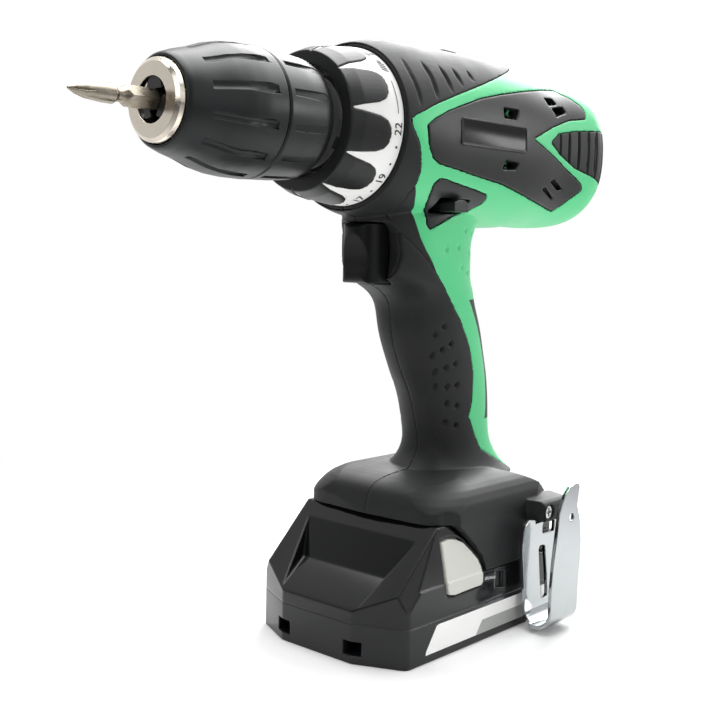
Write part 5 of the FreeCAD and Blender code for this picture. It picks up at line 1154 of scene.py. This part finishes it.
def make_room(ambient):
    """A dim room to light with. What looks at it sees a white wall and a bright ceiling."""
    world, tree = blank(bpy.data.worlds, "white_room")
    dim = add(tree, "ShaderNodeBackground", {"Color": WHITE, "Strength": ambient})
    way = add(tree, "ShaderNodeTexCoord").outputs["Generated"]
    wall = ramp(tree, towards(tree, way, BEHIND), -0.4, 0.3, bottom=0.05, kind="SMOOTHSTEP")
    ceiling = ramp(tree, towards(tree, way, SKYLIGHT), 0.62, 0.92, top=4.6, kind="SMOOTHSTEP")
    room = joined(tree, "MAXIMUM", wall, ceiling)
    bright = joined(tree, "MAXIMUM", room, camera_ray(tree))
    white = add(tree, "ShaderNodeBackground", {"Color": WHITE, "Strength": bright})
    mix = add(tree, "ShaderNodeMixShader", {0: seen_rays(tree), 1: dim, 2: white})
    add(tree, "ShaderNodeOutputWorld", {"Surface": mix})
    bpy.context.scene.world = world


def joined(tree, operation, first, second):
    return add(tree, "ShaderNodeMath", {0: first, 1: second}, operation=operation)


def towards(tree, place, way):
    """How far a place lies along a way."""
    wires = {0: place, 1: way}
    return add(tree, "ShaderNodeVectorMath", wires, operation="DOT_PRODUCT").outputs["Value"]


def camera_ray(tree):
    return add(tree, "ShaderNodeLightPath").outputs["Is Camera Ray"]


def seen_rays(tree):
    """1 where the camera, a reflection or glass looks at the room, and 0 where it lights."""
    path = add(tree, "ShaderNodeLightPath").outputs
    first = joined(tree, "MAXIMUM", path["Is Camera Ray"], path["Is Glossy Ray"])
    return joined(tree, "MAXIMUM", first, path["Is Transmission Ray"])


class DRILL_PT_build(bpy.types.Panel):
    """Lists the drill's pieces and their sizes"""
    bl_idname = "DRILL_PT_build"
    bl_label = "Cordless Drill"
    bl_space_type = "VIEW_3D"
    bl_region_type = "UI"
    bl_category = "Drill"

    def draw(self, context):
        for group in GROUPS:
            settings = getattr(context.scene, group)
            box = self.layout.box()
            for name in settings.__annotations__:
                box.prop(settings, name)
        for operator in OPERATORS:
            self.layout.operator(operator.bl_idname)


GROUPS = {"drill_finish": FinishSettings, "drill_moulding": MouldingSettings, "drill_dial": DialSettings,
          "drill_stage": StageSettings}
OPERATORS = (
    DRILL_OT_finishes, DRILL_OT_stage, DRILL_OT_shell, DRILL_OT_grips, DRILL_OT_panels, DRILL_OT_rear_pads,
    DRILL_OT_chuck, DRILL_OT_bit, DRILL_OT_dial, DRILL_OT_controls, DRILL_OT_battery, DRILL_OT_hook,
)
CLASSES = (*GROUPS.values(), *OPERATORS, DRILL_PT_build)


def register():
    for kind in CLASSES:
        bpy.utils.register_class(kind)
    for name, kind in GROUPS.items():
        setattr(bpy.types.Scene, name, bpy.props.PointerProperty(type=kind))


def unregister():
    for name in GROUPS:
        delattr(bpy.types.Scene, name)
    for kind in reversed(CLASSES):
        bpy.utils.unregister_class(kind)


def main():
    register()
    for operator in OPERATORS:
        family, name = operator.bl_idname.split(".")
        getattr(getattr(bpy.ops, family), name)()


if __name__ == "__main__":
    main()
